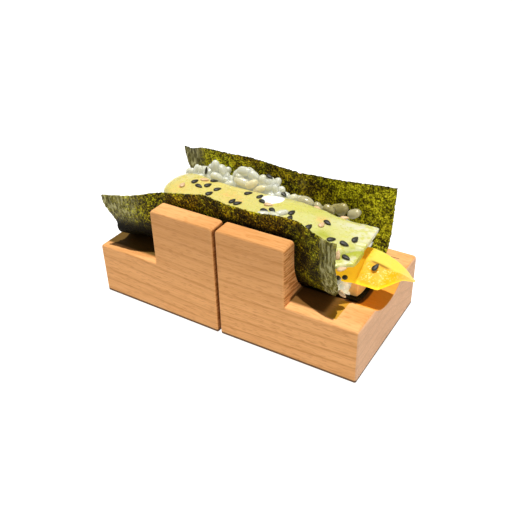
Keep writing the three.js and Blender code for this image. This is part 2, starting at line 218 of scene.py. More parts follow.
def make_light():
    sun = bpy.data.objects.new("overhead_light", bpy.data.lights.new("overhead_light", "SUN"))
    bpy.context.scene.collection.objects.link(sun)
    sun.data.energy = SUN_STRENGTH
    sun.data.angle = SUN_ANGLE
    sun.location = place(0, 0, 600)
    side = bpy.data.objects.new("side_light", bpy.data.lights.new("side_light", "AREA"))
    bpy.context.scene.collection.objects.link(side)
    side.data.energy = SIDE_POWER
    side.data.size = SIDE_SIZE
    side.location = place(*SIDE_PLACE)
    side.rotation_euler = (side.location - place(*SIDE_AIM)).to_track_quat("Z", "Y").to_euler()
    sky = bpy.data.worlds.new("studio")
    sky.use_nodes = True
    background = sky.node_tree.nodes["Background"]
    background.inputs["Color"].default_value = STUDIO_WHITE
    background.inputs["Strength"].default_value = SKY_STRENGTH
    bpy.context.scene.world = sky
    bpy.context.scene.view_settings.view_transform = "Standard"


def make_floor():
    shape = bmesh.new()
    bmesh.ops.create_grid(shape, x_segments=4, y_segments=4, size=FLOOR_HALF_SIZE)
    floor = finished("floor", shape, floor_material(), smooth=False)


# ---- meshes -------------------------------------------------------------------------------
def as_mesh(name, shape):
    """A mesh of a bmesh, which is used up."""
    mesh = bpy.data.meshes.new(name)
    shape.to_mesh(mesh)
    shape.free()
    return mesh


def finished(name, shape, material, smooth=True):
    """Turns a bmesh in metres into an object at the origin."""
    mesh = as_mesh(name, shape)
    if smooth:
        mesh.shade_smooth()
    piece = bpy.data.objects.new(name, mesh)
    bpy.context.scene.collection.objects.link(piece)
    mesh.materials.append(material)
    return piece


def settle(piece, node):
    """Puts a new piece in the object: it rides on the body and stands for a CAD node."""
    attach(piece, "root")
    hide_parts(node)


def subdivided(piece):
    smoothing = piece.modifiers.new("smoothing", "SUBSURF")
    smoothing.levels = 1
    smoothing.render_levels = 1
    return piece


def bar(sides, rings, end_rings, outline, tone_at=None):
    """A closed bar along X from a sphere's rings.

    outline(t, angle, reach) gives a point in millimetres: t runs from 0 to 1 along the bar, and
    reach is below 1 on the rings that close an end. tone_at(x, y, z) gives its colour attribute.
    """
    shape = bmesh.new()
    bmesh.ops.create_uvsphere(shape, u_segments=sides, v_segments=rings, radius=1)
    tone = shape.verts.layers.float_color.new("tone")
    for vert in shape.verts:
        ring = round(math.acos(clamp(-vert.co.z, -1, 1)) / math.pi * rings)
        angle = math.atan2(vert.co.y, vert.co.x)
        reach = min(ring, rings - ring, end_rings) / end_rings
        t = clamp((ring - end_rings) / (rings - 2 * end_rings))
        point = outline(t, angle, reach)
        if tone_at:
            vert[tone] = tone_at(*point)
        vert.co = place(*point)
    bmesh.ops.recalc_face_normals(shape, faces=shape.faces)
    return shape


def rounded_box(angle, power):
    """A closed curve between a circle (power 2) and a rounded box (higher powers)."""
    def bend(value):
        return math.copysign(abs(value) ** (2 / power), value)
    return bend(math.cos(angle)), bend(math.sin(angle))


# ---- shader helpers -----------------------------------------------------------------------
def put(tree, socket, value):
    """Links a socket to another one, or sets it to a value."""
    if isinstance(value, bpy.types.NodeSocket):
        tree.links.new(value, socket)
    else:
        socket.default_value = value


def add(tree, kind, values=None, **settings):
    """A node of that kind, with sockets set or linked by name or number."""
    made = tree.nodes.new(kind)
    for key, value in settings.items():
        setattr(made, key, value)
    for key, value in (values or {}).items():
        put(tree, made.inputs[key], value)
    return made


def wire(tree, node, **sockets):
    """Links or sets a node's inputs; Base_Color stands for 'Base Color'."""
    for key, value in sockets.items():
        put(tree, node.inputs[key.replace("_", " ")], value)


def arithmetic(tree, operation, first, second=0.0, clamped=False):
    made = add(tree, "ShaderNodeMath", {0: first, 1: second}, operation=operation, use_clamp=clamped)
    return made.outputs[0]


def times(tree, first, second, clamped=False):
    return arithmetic(tree, "MULTIPLY", first, second, clamped)


def plus(tree, first, second):
    return arithmetic(tree, "ADD", first, second)


def sum_of_squares(tree, first, second):
    return plus(tree, arithmetic(tree, "POWER", first, 2.0), arithmetic(tree, "POWER", second, 2.0))


def blend_colours(tree, share, first, second, kind="MIX"):
    made = add(tree, "ShaderNodeMix", {0: share, 6: first, 7: second}, data_type="RGBA",
               blend_type=kind, clamp_factor=True)
    return made.outputs[2]


def layered(tree, colour, layers):
    """Lays tints over a colour. A layer is (mask, strength, tint)."""
    for mask, strength, tint in layers:
        colour = blend_colours(tree, times(tree, mask, strength), colour, tint)
    return colour


def colour_ramp(tree, value, stops):
    """stops are (place, colour) from low to high."""
    made = add(tree, "ShaderNodeValToRGB", {0: value})
    elements = made.color_ramp.elements
    while len(elements) < len(stops):
        elements.new(0.5)
    for element, (place_on_ramp, colour) in zip(elements, stops):
        element.position = place_on_ramp
        element.color = colour
    return made.outputs[0]


def span(tree, value, low, high, to_low=0.0, to_high=1.0, smooth=True):
    """Maps low..high to to_low..to_high, easing in and out."""
    made = add(tree, "ShaderNodeMapRange", {0: value, 1: low, 2: high, 3: to_low, 4: to_high},
               interpolation_type="SMOOTHSTEP" if smooth else "LINEAR")
    return made.outputs[0]


def band(tree, value, start, end, ease):
    """1 between start and end, easing to 0 outside, all in millimetres of a metre value."""
    rise = span(tree, value, (start - ease) * MM, start * MM)
    fall = span(tree, value, end * MM, (end + ease) * MM, 1.0, 0.0)
    return times(tree, rise, fall)


def stretched(tree, vector, scale, turn=(0, 0, 0), shift=(0, 0, 0)):
    return add(tree, "ShaderNodeMapping",
               {"Vector": vector, "Scale": scale, "Rotation": turn, "Location": shift}).outputs[0]


def object_coordinates(tree, scale=(1, 1, 1), shift=(0, 0, 0)):
    source = add(tree, "ShaderNodeTexCoord").outputs["Object"]
    return stretched(tree, source, scale, shift=shift)


def attribute_parts(tree, name):
    """The red, green, blue and alpha of a colour attribute, as four values."""
    attribute = add(tree, "ShaderNodeAttribute", attribute_name=name)
    parts = add(tree, "ShaderNodeSeparateColor", {0: attribute.outputs["Color"]})
    return parts.outputs[0], parts.outputs[1], parts.outputs[2], attribute.outputs["Alpha"]


def noise_value(tree, vector, scale, detail=3.0, roughness=0.55, distortion=0.0):
    made = add(tree, "ShaderNodeTexNoise", {"Vector": vector, "Scale": scale, "Detail": detail,
                                            "Roughness": roughness, "Distortion": distortion})
    return made.outputs[0]


def new_material(name):
    material = bpy.data.materials.new(name)
    material.use_nodes = True
    tree = material.node_tree
    return material, tree, tree.nodes["Principled BSDF"]


def bumped(tree, shader, height, distance, strength):
    made = add(tree, "ShaderNodeBump", {"Height": height, "Distance": distance, "Strength": strength})
    tree.links.new(made.outputs[0], shader.inputs["Normal"])


def new_group(name, inputs, outputs):
    """A node group: inputs are (name, socket kind, default), outputs (name, socket kind)."""
    group = bpy.data.node_groups.new(name, "ShaderNodeTree")
    for label, kind, default in inputs:
        socket = group.interface.new_socket(name=label, in_out="INPUT", socket_type=kind)
        if default is not None:
            socket.default_value = default
    for label, kind in outputs:
        group.interface.new_socket(name=label, in_out="OUTPUT", socket_type=kind)
    return group, group.nodes.new("NodeGroupInput"), group.nodes.new("NodeGroupOutput")


# ---- materials: colours are linear --------------------------------------------------------
def floor_material():
    """White and evenly lit from within, so that it shows hardly any shadow."""
    material, tree, shader = new_material("pale_floor")
    wire(tree, shader, Base_Color=FLOOR_GREY, Roughness=0.9, Specular_IOR_Level=0.0,
         Emission_Color=STUDIO_WHITE, Emission_Strength=FLOOR_GLOW)
    return material


BEECH_LIGHT = (0.86, 0.43, 0.160, 1)
BEECH_DARK = (0.64, 0.285, 0.085, 1)
BEECH_FLECK = (0.45, 0.165, 0.036, 1)
BEECH_END_GRAIN = (0.62, 0.43, 0.31, 1)
# Painted shade: the front faces darken towards the top.
BEECH_FRONT = (0.50, 0.23, 0.075, 1)
# Painted shade: the groove under the yellow bar, a darker, richer orange.
BEECH_IN_GROOVE = (0.72, 0.275, 0.002, 1)
# Painted light: a golden glow inside the painted shadow on the right low top.
BEECH_GLINT = (0.46, 0.23, 0.004, 1)
# Painted shadow: the low tops under the nori's leaf, right and left.
DAMP_RIGHT = (0.12, 0.05, 0.005, 1)
DAMP_LEFT = (0.08, 0.045, 0.003, 1)
# Painted contact shadow where the nori's lower end meets the groove.
UNDER_NORI = (0.03, 0.012, 0.003, 1)
SEAM_SHADE = (0.30, 0.10, 0.012, 1)
SCRATCH_DIRT = (0.05, 0.03, 0.008, 1)
# Painted contact shadow: a thin dark line along the blocks' bottom edge.
FOOT_LINE = (0.05, 0.022, 0.008, 1)
# Places on the wood, from-to in millimetres.
DAMP_ACROSS = (5.5, 50)
GLINT_ACROSS = (3.4, 15)
GLINT_EASES_IN = (42, 48)
GLINT_ENDS = (49.4, 49.8)
SCRATCH_ACROSS = (51.6, 51.9)
SCRATCH_ALONG = (51.2, 54.4)
SEAM_ALONG = (-1.25, -0.1)
FOOT_UP = (1.8, 1.1)


def wood_grain_group():
    """Beech: flat yearly rings, fine streaks along X, short dark flecks and paler end grain."""
    tree, given, out = new_group(
        "wood_grain",
        [("Vector", "NodeSocketVector", None), ("Heart Depth", "NodeSocketFloat", 0.16),
         ("Ring Width", "NodeSocketFloat", 0.0050), ("Light", "NodeSocketColor", None),
         ("Dark", "NodeSocketColor", None), ("Fleck", "NodeSocketColor", None),
         ("Hatch", "NodeSocketFloat", 0.0)],
        [("Color", "NodeSocketColor"), ("Roughness", "NodeSocketFloat"),
         ("Height", "NodeSocketFloat")])
    vector = given.outputs["Vector"]
    fleck_colour = given.outputs["Fleck"]
    apart = add(tree, "ShaderNodeSeparateXYZ", {0: vector})
    depth = plus(tree, apart.outputs[2], given.outputs["Heart Depth"])
    radius = arithmetic(tree, "SQRT", sum_of_squares(tree, apart.outputs[1], depth))
    sway = noise_value(tree, stretched(tree, vector, (0.22, 1, 1)), 26, 2, 0.5)
    radius = plus(tree, radius, times(tree, sway, 0.012))
    rings = arithmetic(tree, "FRACT", arithmetic(tree, "DIVIDE", radius, given.outputs["Ring Width"]))
    ring_line = times(tree, span(tree, rings, 0.66, 0.92), span(tree, rings, 0.92, 1.0, 1.0, 0.0))
    streaks = stretched(tree, vector, (0.05, 0.6, 1))
    fine = noise_value(tree, streaks, 1500, 2, 0.6)
    broad = noise_value(tree, streaks, 170, 2, 0.5)
    flecks = noise_value(tree, stretched(tree, vector, (0.14, 0.8, 1)), 2300, 0, 0.4)
    flecks = span(tree, flecks, 0.60, 0.72)
    tone = plus(tree, times(tree, ring_line, 0.56), span(tree, fine, 0.36, 0.66, 0.0, 0.36))
    tone = plus(tree, tone, span(tree, broad, 0.42, 0.62, 0.0, 0.16))
    hatch = noise_value(tree, stretched(tree, vector, (1, 0.09, 1)), 1150, 2, 0.5)
    hatch = times(tree, span(tree, hatch, 0.47, 0.56), given.outputs["Hatch"])
    colour = blend_colours(tree, tone, given.outputs["Light"], given.outputs["Dark"])
    colour = layered(tree, colour, ((flecks, 0.32, fleck_colour), (hatch, 1, fleck_colour)))
    height = arithmetic(tree, "SUBTRACT", times(tree, fine, 0.5), times(tree, flecks, 0.5))
    wire(tree, out, Color=colour, Roughness=span(tree, fine, 0.3, 0.7, 0.55, 0.72), Height=height)
    return tree


def wood_material(name, group, heart_depth, turn, damp_span, damp_colour, groove_span):
    """Spans are from-to along X: where a painted shadow of the nori darkens the low top, and where painted
    shade turns the groove orange-brown.
    """
    material, tree, shader = new_material(name)
    vector = object_coordinates(tree, shift=[-coordinate for coordinate in SEAM_CORNER])
    tilted = stretched(tree, vector, (1, 1, 1), (math.radians(4), turn, 0), (0.031, -0.02, 0))
    apart = add(tree, "ShaderNodeSeparateXYZ", {0: vector})
    along, across, up = apart.outputs[0], apart.outputs[1], apart.outputs[2]
    away = arithmetic(tree, "SUBTRACT", across, GROOVE_Y * MM)
    below = arithmetic(tree, "SUBTRACT", up, GROOVE_Z * MM)
    in_groove = span(tree, sum_of_squares(tree, away, below),
                     ((GROOVE_RADIUS + 0.5) * MM) ** 2, ((GROOVE_RADIUS + 0.1) * MM) ** 2)
    # Painted shade: the groove's surface under the yellow bar turns orange-brown.
    bare = times(tree, in_groove, band(tree, along, *groove_span, 1.5))
    # Painted contact shadow where the nori's lower end meets the groove.
    contact = times(tree, in_groove, band(tree, along, NORI_BOTTOM_RIGHT - 3, 51.6, 0.9))
    ledge = times(tree, band(tree, across, *DAMP_ACROSS, 2), band(tree, up, 19, LOW_HEIGHT + 1, 1))
    # Painted shadow: the low top under the nori's leaf.
    damp = times(tree, ledge, band(tree, along, *damp_span, 2.5))
    # Painted shade on the front faces, stronger towards the top.
    front = times(tree, band(tree, across, -5, 0.3, 0.3), span(tree, up, 12 * MM, 47 * MM))
    seam = band(tree, along, *SEAM_ALONG, 0.25)
    # Painted contact shadow: a thin dark line along the blocks' bottom edge.
    foot = span(tree, up, FOOT_UP[0] * MM, FOOT_UP[1] * MM)
    end_grain = band(tree, along, BLOCK_LENGTH - 0.3, BLOCK_LENGTH + 5, 0.3)
    step_side = times(tree, band(tree, along, TALL_LENGTH - 0.15, TALL_LENGTH + 0.4, 0.3),
                      band(tree, up, LOW_HEIGHT + 1, 60, 0.5))
    hatched = plus(tree, times(tree, step_side, 0.9), times(tree, end_grain, 0.22))
    # A short thin dark line along X on the right block, behind the groove.
    scratch = times(tree, band(tree, across, *SCRATCH_ACROSS, 0.15),
                    band(tree, along, *SCRATCH_ALONG, 0.4))
    # Painted light: a golden glow inside the painted shadow on the right low top.
    glint = times(tree, span(tree, along, GLINT_EASES_IN[0] * MM, GLINT_EASES_IN[1] * MM),
                  band(tree, across, *GLINT_ACROSS, 0.5))
    glint = times(tree, glint, span(tree, along, GLINT_ENDS[0] * MM, GLINT_ENDS[1] * MM, 1.0, 0.0))
    glint = times(tree, glint, band(tree, up, LOW_HEIGHT - 2.5, LOW_HEIGHT + 1, 0.5))
    grain = add(tree, "ShaderNodeGroup", node_tree=group)
    wire(tree, grain, Vector=tilted, Heart_Depth=heart_depth, Light=BEECH_LIGHT, Dark=BEECH_DARK,
         Fleck=BEECH_FLECK, Hatch=plus(tree, hatched, seam))
    colour = layered(tree, grain.outputs["Color"], (
        (end_grain, 0.5, BEECH_END_GRAIN), (front, 0.5, BEECH_FRONT), (damp, 0.94, damp_colour),
        (glint, 0.9, BEECH_GLINT), (bare, 0.8, BEECH_IN_GROOVE), (contact, 0.9, UNDER_NORI),
        (seam, 0.6, SEAM_SHADE), (scratch, 0.8, SCRATCH_DIRT), (foot, 0.9, FOOT_LINE)))
    wire(tree, shader, Base_Color=colour, Roughness=grain.outputs["Roughness"], Specular_IOR_Level=0.15)
    bumped(tree, shader, grain.outputs["Height"], 0.00015, 0.6)
    return material


# From black over olive to lime: place on the ramp and colour.
SEAWEED_STOPS = (
    (0.34, (0.006, 0.005, 0.001, 1)), (0.46, (0.060, 0.048, 0.003, 1)), (0.57, (0.15, 0.135, 0.002, 1)),
    (0.69, (0.41, 0.39, 0.004, 1)), (0.84, (0.96, 0.92, 0.04, 1)))
FIBRE_STOPS = (
    (0.35, (0.035, 0.033, 0.006, 1)), (0.49, (0.16, 0.14, 0.035, 1)), (0.63, (0.52, 0.49, 0.23, 1)))
SEAWEED_BROWNING = (1.0, 0.70, 0.55, 1)
# Painted shade on the nori, and its thin dark line along the far top edge.
SEAWEED_DARK = (0.006, 0.005, 0.003, 1)
FIBRE_TURN = math.radians(28)


def seaweed_group():
    """Pressed seaweed: flecks from black over olive to lime, brown patches, pale fibres that also stand in
    for sheen, and a dark tint, mostly painted shade.
    """
    tree, given, out = new_group(
        "pressed_seaweed",
        [("Vector", "NodeSocketVector", None), ("Glow", "NodeSocketFloat", 0.3),
         ("Grey", "NodeSocketFloat", 0.0), ("Brown", "NodeSocketFloat", 0.5),
         ("Dark", "NodeSocketFloat", 0.0), ("Fleck Scale", "NodeSocketFloat", 1450.0)],
        [("Color", "NodeSocketColor"), ("Height", "NodeSocketFloat")])
    vector = given.outputs["Vector"]
    flecks = noise_value(tree, vector, given.outputs["Fleck Scale"], 3, 0.72, 0.3)
    clumps = noise_value(tree, vector, 420, 3, 0.6, 0.5)
    patches = noise_value(tree, vector, 130, 3, 0.55)
    broad = noise_value(tree, vector, 110, 3, 0.5)
    value = plus(tree, times(tree, flecks, 1.55), times(tree, clumps, 0.70))
    value = plus(tree, value, span(tree, broad, 0.3, 0.7, -0.08, 0.08))
    value = plus(tree, value, span(tree, given.outputs["Glow"], 0, 1, -0.73, -0.49, False))
    colour = colour_ramp(tree, value, SEAWEED_STOPS)
    browned = blend_colours(tree, 1.0, colour, SEAWEED_BROWNING, "MULTIPLY")
    brown = times(tree, span(tree, patches, 0.40, 0.58), given.outputs["Brown"], True)
    fibres = noise_value(tree, stretched(tree, vector, (1, 1, 0.16), (0, FIBRE_TURN, 0)), 1150, 3, 0.65, 0.3)
    colour = layered(tree, colour, (
        (brown, 1, browned), (given.outputs["Grey"], 1, colour_ramp(tree, fibres, FIBRE_STOPS)),
        (given.outputs["Dark"], 1, SEAWEED_DARK)))
    wire(tree, out, Color=colour, Height=plus(tree, flecks, times(tree, clumps, 1.5)))
    return tree


def nori_material():
    material, tree, shader = new_material("nori")
    glow, grey, brown, dark = attribute_parts(tree, "tone")
    seaweed = add(tree, "ShaderNodeGroup", node_tree=seaweed_group())
    wire(tree, seaweed, Vector=object_coordinates(tree), Glow=glow, Grey=grey, Brown=brown, Dark=dark)
    wire(tree, shader, Base_Color=seaweed.outputs["Color"], Roughness=0.5, Specular_IOR_Level=0.08)
    bumped(tree, shader, seaweed.outputs["Height"], 0.0004, 0.8)
    return material


FIBRE_STRETCH = (0.35, 1, 1)
GREEN_FLESH = ((0.59, 0.57, 0.12, 1), (0.61, 0.59, 0.20, 1), (0.66, 0.66, 0.36, 1))
GREEN_CREAM = (0.66, 0.56, 0.155, 1)
# Deep green: the flesh's own clear parts, and painted shade.
GREEN_DEEP = (0.40, 0.42, 0.030, 1)
GREEN_FROST = (0.66, 0.64, 0.44, 1)
PEACH = (0.78, 0.46, 0.14, 1)
WET_GLEAM = (0.95, 0.95, 0.92, 1)
YELLOW_FLESH = ((0.82, 0.42, 0.004, 1), (0.82, 0.46, 0.008, 1), (0.84, 0.52, 0.02, 1))
YELLOW_PALE = (0.80, 0.64, 0.10, 1)
YELLOW_FOAM = (0.92, 0.74, 0.24, 1)
YELLOW_TIP = (0.70, 0.52, 0.18, 1)
YELLOW_CREASE = (0.32, 0.13, 0.002, 1)
YELLOW_DEEP = (0.95, 0.42, 0.004, 1)
YELLOW_LIGHT_WITHIN = (1, 0.66, 0.03, 1)
TAN_FLESH = ((0.80, 0.44, 0.10, 1), (0.88, 0.52, 0.14, 1), (0.92, 0.66, 0.26, 1))
TAN_LIGHT_WITHIN = (1, 0.60, 0.22, 1)


def moist_flesh_group():
    """Fibres and wet specks of cut vegetable: a mask that varies and a height."""
    tree, given, out = new_group(
        "moist_flesh",
        [("Vector", "NodeSocketVector", None), ("Fibre Scale", "NodeSocketFloat", 900.0),
         ("Patch Scale", "NodeSocketFloat", 120.0)],
        [("Fibres", "NodeSocketFloat"), ("Patches", "NodeSocketFloat"), ("Height", "NodeSocketFloat")])
    fibres = noise_value(tree, given.outputs["Vector"], given.outputs["Fibre Scale"], 3, 0.6)
    patches = noise_value(tree, given.outputs["Vector"], given.outputs["Patch Scale"], 3, 0.5)
    wire(tree, out, Fibres=fibres, Patches=patches, Height=plus(tree, fibres, times(tree, patches, 2.0)))
    return tree


def flesh_material(name, group, colours, fibre_scale=900.0, depth=0.0012):
    """colours: main, second (patches), light (fibres). depth is how far light spreads, in metres."""
    material, tree, shader = new_material(name)
    flesh = add(tree, "ShaderNodeGroup", node_tree=group)
    wire(tree, flesh, Vector=object_coordinates(tree, scale=FIBRE_STRETCH), Fibre_Scale=fibre_scale)
    main, second, light = colours
    colour = blend_colours(tree, span(tree, flesh.outputs["Patches"], 0.4, 0.65), main, second)
    colour = blend_colours(tree, span(tree, flesh.outputs["Fibres"], 0.56, 0.74, 0.0, 0.7), colour, light)
    wire(tree, shader, Base_Color=colour, Roughness=0.28, Subsurface_Weight=0.45,
         Subsurface_Scale=depth, Subsurface_Radius=(1.0, 0.8, 0.35), Specular_IOR_Level=0.5)
    bumped(tree, shader, flesh.outputs["Height"], 0.0003, 0.6)
    return material, tree, shader, colour


def slab_material(group):
    """Creamy at the left, clear green in the middle, frosted at the right end, one painted highlight."""
    material, tree, shader, colour = flesh_material("pale_green_flesh", group, GREEN_FLESH)
    cream, frost, gleam, peach = attribute_parts(tree, "tone")
    mottle = noise_value(tree, object_coordinates(tree), 330, 4, 0.65)
    frost = times(tree, frost, span(tree, mottle, 0.36, 0.6), True)
    peach = times(tree, peach, span(tree, mottle, 0.38, 0.56), True)
    deep = times(tree, cream, -1.0, True)
    colour = layered(tree, colour, (
        (cream, 1, GREEN_CREAM), (deep, 1, GREEN_DEEP), (frost, 1, GREEN_FROST), (peach, 1, PEACH),
        (span(tree, gleam, 0.4, 0.6), 1, WET_GLEAM)))
    wire(tree, shader, Base_Color=colour, Roughness=span(tree, mottle, 0.35, 0.65, 0.22, 0.42))
    return material


def wedge_material(group):
    """Yellow pickle: pale upper side, deep yellow front with a foam of bubbles, clear pale tip, and painted
    orange shade with a painted glow on its left part and lower front edge.
    """
    material, tree, shader, colour = flesh_material("yellow_flesh", group, YELLOW_FLESH, 1300.0, 0.005)
    upper, front, tip, crease = attribute_parts(tree, "tone")
    vector = object_coordinates(tree)
    bubbles = add(tree, "ShaderNodeTexVoronoi", {"Vector": vector, "Scale": 1350.0}).outputs["Distance"]
    foam = times(tree, span(tree, bubbles, 0.56, 0.34),
                 span(tree, noise_value(tree, vector, 420, 2), 0.42, 0.58, 0.0, 0.85), True)
    foam = times(tree, foam, front, True)
    deep = times(tree, front, -1.0, True)
    colour = layered(tree, colour, (
        (upper, 1, YELLOW_PALE), (foam, 1, YELLOW_FOAM), (tip, 1, YELLOW_TIP),
        (crease, 1, YELLOW_CREASE), (deep, 1, YELLOW_DEEP)))
    # Painted glow: emission on the deep orange, weaker under the pale upper side.
    within = times(tree, times(tree, deep, span(tree, upper, 0.0, 0.9, 1.0, 0.25)), 0.48)
    wire(tree, shader, Base_Color=colour, Subsurface_Weight=0.6, Emission_Color=YELLOW_LIGHT_WITHIN,
         Emission_Strength=within, Roughness=0.42, Specular_IOR_Level=0.12)
    return material


def tan_material(group):
    material, tree, shader, _ = flesh_material("tan_flesh", group, TAN_FLESH)
    # Painted glow: a little emission all over the strip, which lies in shade.
    wire(tree, shader, Emission_Color=TAN_LIGHT_WITHIN, Emission_Strength=0.12)
    return material


RICE_GREY = (0.43, 0.44, 0.37, 1)
RICE_WHITE = (0.49, 0.50, 0.43, 1)
RICE_STAIN = (0.66, 0.50, 0.12, 1)
RICE_SHADE = (0.23, 0.18, 0.012, 1)
RICE_LIGHT_WITHIN = (0.80, 0.80, 0.62, 1)


def rice_material():
    """Cooked rice: each grain has its own paleness, stain and painted shade in the attribute 'tint'; the
    grains also glow with painted light, more where the shade is less.
    """
    material, tree, shader = new_material("cooked_rice")
    paleness, stain, shade, _ = attribute_parts(tree, "tint")
    cloud = noise_value(tree, object_coordinates(tree), 420, 2, 0.5)
    share = plus(tree, times(tree, paleness, 0.7), times(tree, cloud, 0.3))
    colour = blend_colours(tree, share, RICE_GREY, RICE_WHITE)
    colour = layered(tree, colour, ((stain, 1, RICE_STAIN), (shade, 1, RICE_SHADE)))
    # Painted glow: emission, strongest where the painted shade is least.
    wire(tree, shader, Base_Color=colour, Roughness=0.22, Subsurface_Weight=1.0, Subsurface_Scale=0.004,
         Subsurface_Radius=(1.0, 0.95, 0.75), Specular_IOR_Level=0.5, Emission_Color=RICE_LIGHT_WITHIN,
         Emission_Strength=span(tree, shade, -1.0, 1.0, 0.40, 0.0))
    bumped(tree, shader, cloud, 0.0003, 0.3)
    return material


def seed_material(name, dark, light, roughness):
    material, tree, shader = new_material(name)
    speckle = noise_value(tree, object_coordinates(tree), 2600, 3, 0.6)
    colour = blend_colours(tree, span(tree, speckle, 0.4, 0.7), dark, light)
    wire(tree, shader, Base_Color=colour, Roughness=roughness, Specular_IOR_Level=0.5)
    bumped(tree, shader, speckle, 0.00012, 0.6)
    return material


# ---- wooden blocks ------------------------------------------------------------------------
def convex_edges(shape, smallest_turn):
    """Outward edges that turn by more than an angle in degrees."""
    return [edge for edge in shape.edges
            if len(edge.link_faces) == 2 and edge.calc_face_angle_signed() > math.radians(smallest_turn)]


def pushed_along(shape, faces, way):
    """Extrudes faces into a solid along a vector."""
    pushed = bmesh.ops.extrude_face_region(shape, geom=faces)
    moved = [item for item in pushed["geom"] if isinstance(item, bmesh.types.BMVert)]
    bmesh.ops.translate(shape, verts=moved, vec=way)
    bmesh.ops.recalc_face_normals(shape, faces=shape.faces)


def rounded_edges(shape, edges, offset, segments, clamped=False):
    bmesh.ops.bevel(shape, geom=edges, offset=offset, segments=segments, profile=0.5,
                    affect="EDGES", material=-1, clamp_overlap=clamped)


def stepped_body(side):
    """One block without its groove: an L side view pushed back, its outer edges rounded."""
    body = bmesh.new()
    corners = ((0, 0), (BLOCK_LENGTH, 0), (BLOCK_LENGTH, LOW_HEIGHT), (TALL_LENGTH, LOW_HEIGHT),
               (TALL_LENGTH, TALL_HEIGHT), (0, TALL_HEIGHT))
    side_face = body.faces.new([body.verts.new((side * x, 0, z)) for x, z in corners])
    pushed_along(body, [side_face], (0, BLOCK_DEPTH, 0))
    corner_edges = [edge for edge in convex_edges(body, 60)
                    if abs(edge.verts[0].co.y - edge.verts[1].co.y) > 1 and edge.verts[0].co.z > 1]
    rounded_edges(body, corner_edges, PROFILE_ROUNDING, 4)
    rounded_edges(body, convex_edges(body, 60), EDGE_ROUNDING, 3)
    return body


def groove_cutter():
    """A long U-shaped bar: a half circle below, straight up past the block's top."""
    groove = bmesh.new()
    reach = BLOCK_LENGTH + CUTTER_OVERRUN
    first = groove.verts.new((-reach, GROOVE_Y - GROOVE_RADIUS, GROOVE_Z))
    bmesh.ops.spin(groove, geom=[first], cent=(0, GROOVE_Y, GROOVE_Z), axis=(1, 0, 0),
                   angle=math.pi, steps=GROOVE_STEPS)
    ends = [vert for vert in groove.verts if len(vert.link_edges) == 1]
    raised = [groove.verts.new((end.co.x, end.co.y, TALL_HEIGHT + CUTTER_OVERRUN)) for end in ends]
    for end, top in zip(ends, raised):
        groove.edges.new((end, top))
    groove.edges.new(raised)
    bmesh.ops.contextual_create(groove, geom=groove.edges)
    pushed_along(groove, list(groove.faces), (2 * reach, 0, 0))
    return groove


def cut_away(body, cutter):
    """The body less the cutter, as a new bmesh."""
    pieces = []
    for name, shape in (("body", body), ("cutter", cutter)):
        piece = bpy.data.objects.new(name, as_mesh(name, shape))
        bpy.context.scene.collection.objects.link(piece)
        pieces.append(piece)
    cut = pieces[0].modifiers.new("cut", "BOOLEAN")
    cut.operation = "DIFFERENCE"
    cut.solver = "EXACT"
    cut.object = pieces[1]
    bpy.context.view_layer.update()
    result = bmesh.new()
    result.from_object(pieces[0], bpy.context.evaluated_depsgraph_get())
    for piece in pieces:
        bpy.data.objects.remove(piece)
    return result


def make_block(name, side, material):
    shape = cut_away(stepped_body(side), groove_cutter())
    bmesh.ops.remove_doubles(shape, verts=shape.verts, dist=0.001)
    rounded_edges(shape, convex_edges(shape, 35), RIM_ROUNDING, 2, clamped=True)
    if side < 0:
        turn = Matrix.Rotation(LEFT_BLOCK_TURN, 4, "Z")
        shift = Matrix.Translation((-LEFT_BLOCK_GAP, LEFT_BLOCK_OFFSET, 0))
        bmesh.ops.transform(shape, matrix=shift @ turn, verts=shape.verts)
    for vert in shape.verts:
        vert.co = place(*vert.co)
    bmesh.ops.recalc_face_normals(shape, faces=shape.faces)
    piece = finished(name, shape, material)
    piece.data.set_sharp_from_angle(angle=math.radians(50))
    weighting = piece.modifiers.new("weighting", "WEIGHTED_NORMAL")
    weighting.keep_sharp = True
    return piece


def make_holder():
    grain = wood_grain_group()
    beech_right = wood_material("beech_right", grain, 0.16, math.radians(1.5),
                                damp_span=(30, 43), damp_colour=DAMP_RIGHT, groove_span=(52, 62))
    beech_left = wood_material("beech_left", grain, 0.11, math.radians(-1.0),
                               damp_span=(-66, -30), damp_colour=DAMP_LEFT, groove_span=(-90, -80))
    right = make_block("beech_block_right", 1, beech_right)
    left = make_block("beech_block_left", -1, beech_left)
    settle(right, "holder_block_right")
    settle(left, "holder_block_left")


# ---- nori ---------------------------------------------------------------------------------
# A pale scrap on the far leaf: place along, height, strength, size along and up.
LEAF_SCRAPS = ((11.3, 49.4, 1, 1.7, 2.0),)


# across runs from -1 at the near leaf's top edge, over 0 at the bottom, to 1 at the far top.
def nori_left_edge(across):
    near_tuck = hill(across, -0.66, 2.1, 0.16) + hill(across, -0.42, 2.6, 0.13)
    return NORI_LEFT + near_tuck + 13.5 * ramp(across, -0.35, 0.65) - 6.5 * ramp(across, 0.7, 1)


def nori_right_edge(across):
    near_edge = NORI_NEAR_RIGHT - hill(across, -0.27, 6.1, 0.16)
    rest_edge = NORI_BOTTOM_RIGHT + 1.5 * max(across, 0)
    return lerp(near_edge, rest_edge, ramp(across, -0.29, -0.20))


def near_top_at(x):
    left_drop = 8.7 * (max(-12 - x, 0) / 46) ** 0.9
    dip = 1.3 * plateau(x, -9, -1, 12, 24)
    return NEAR_TOP - left_drop - dip - 0.6 * ramp(x, 30, 40)


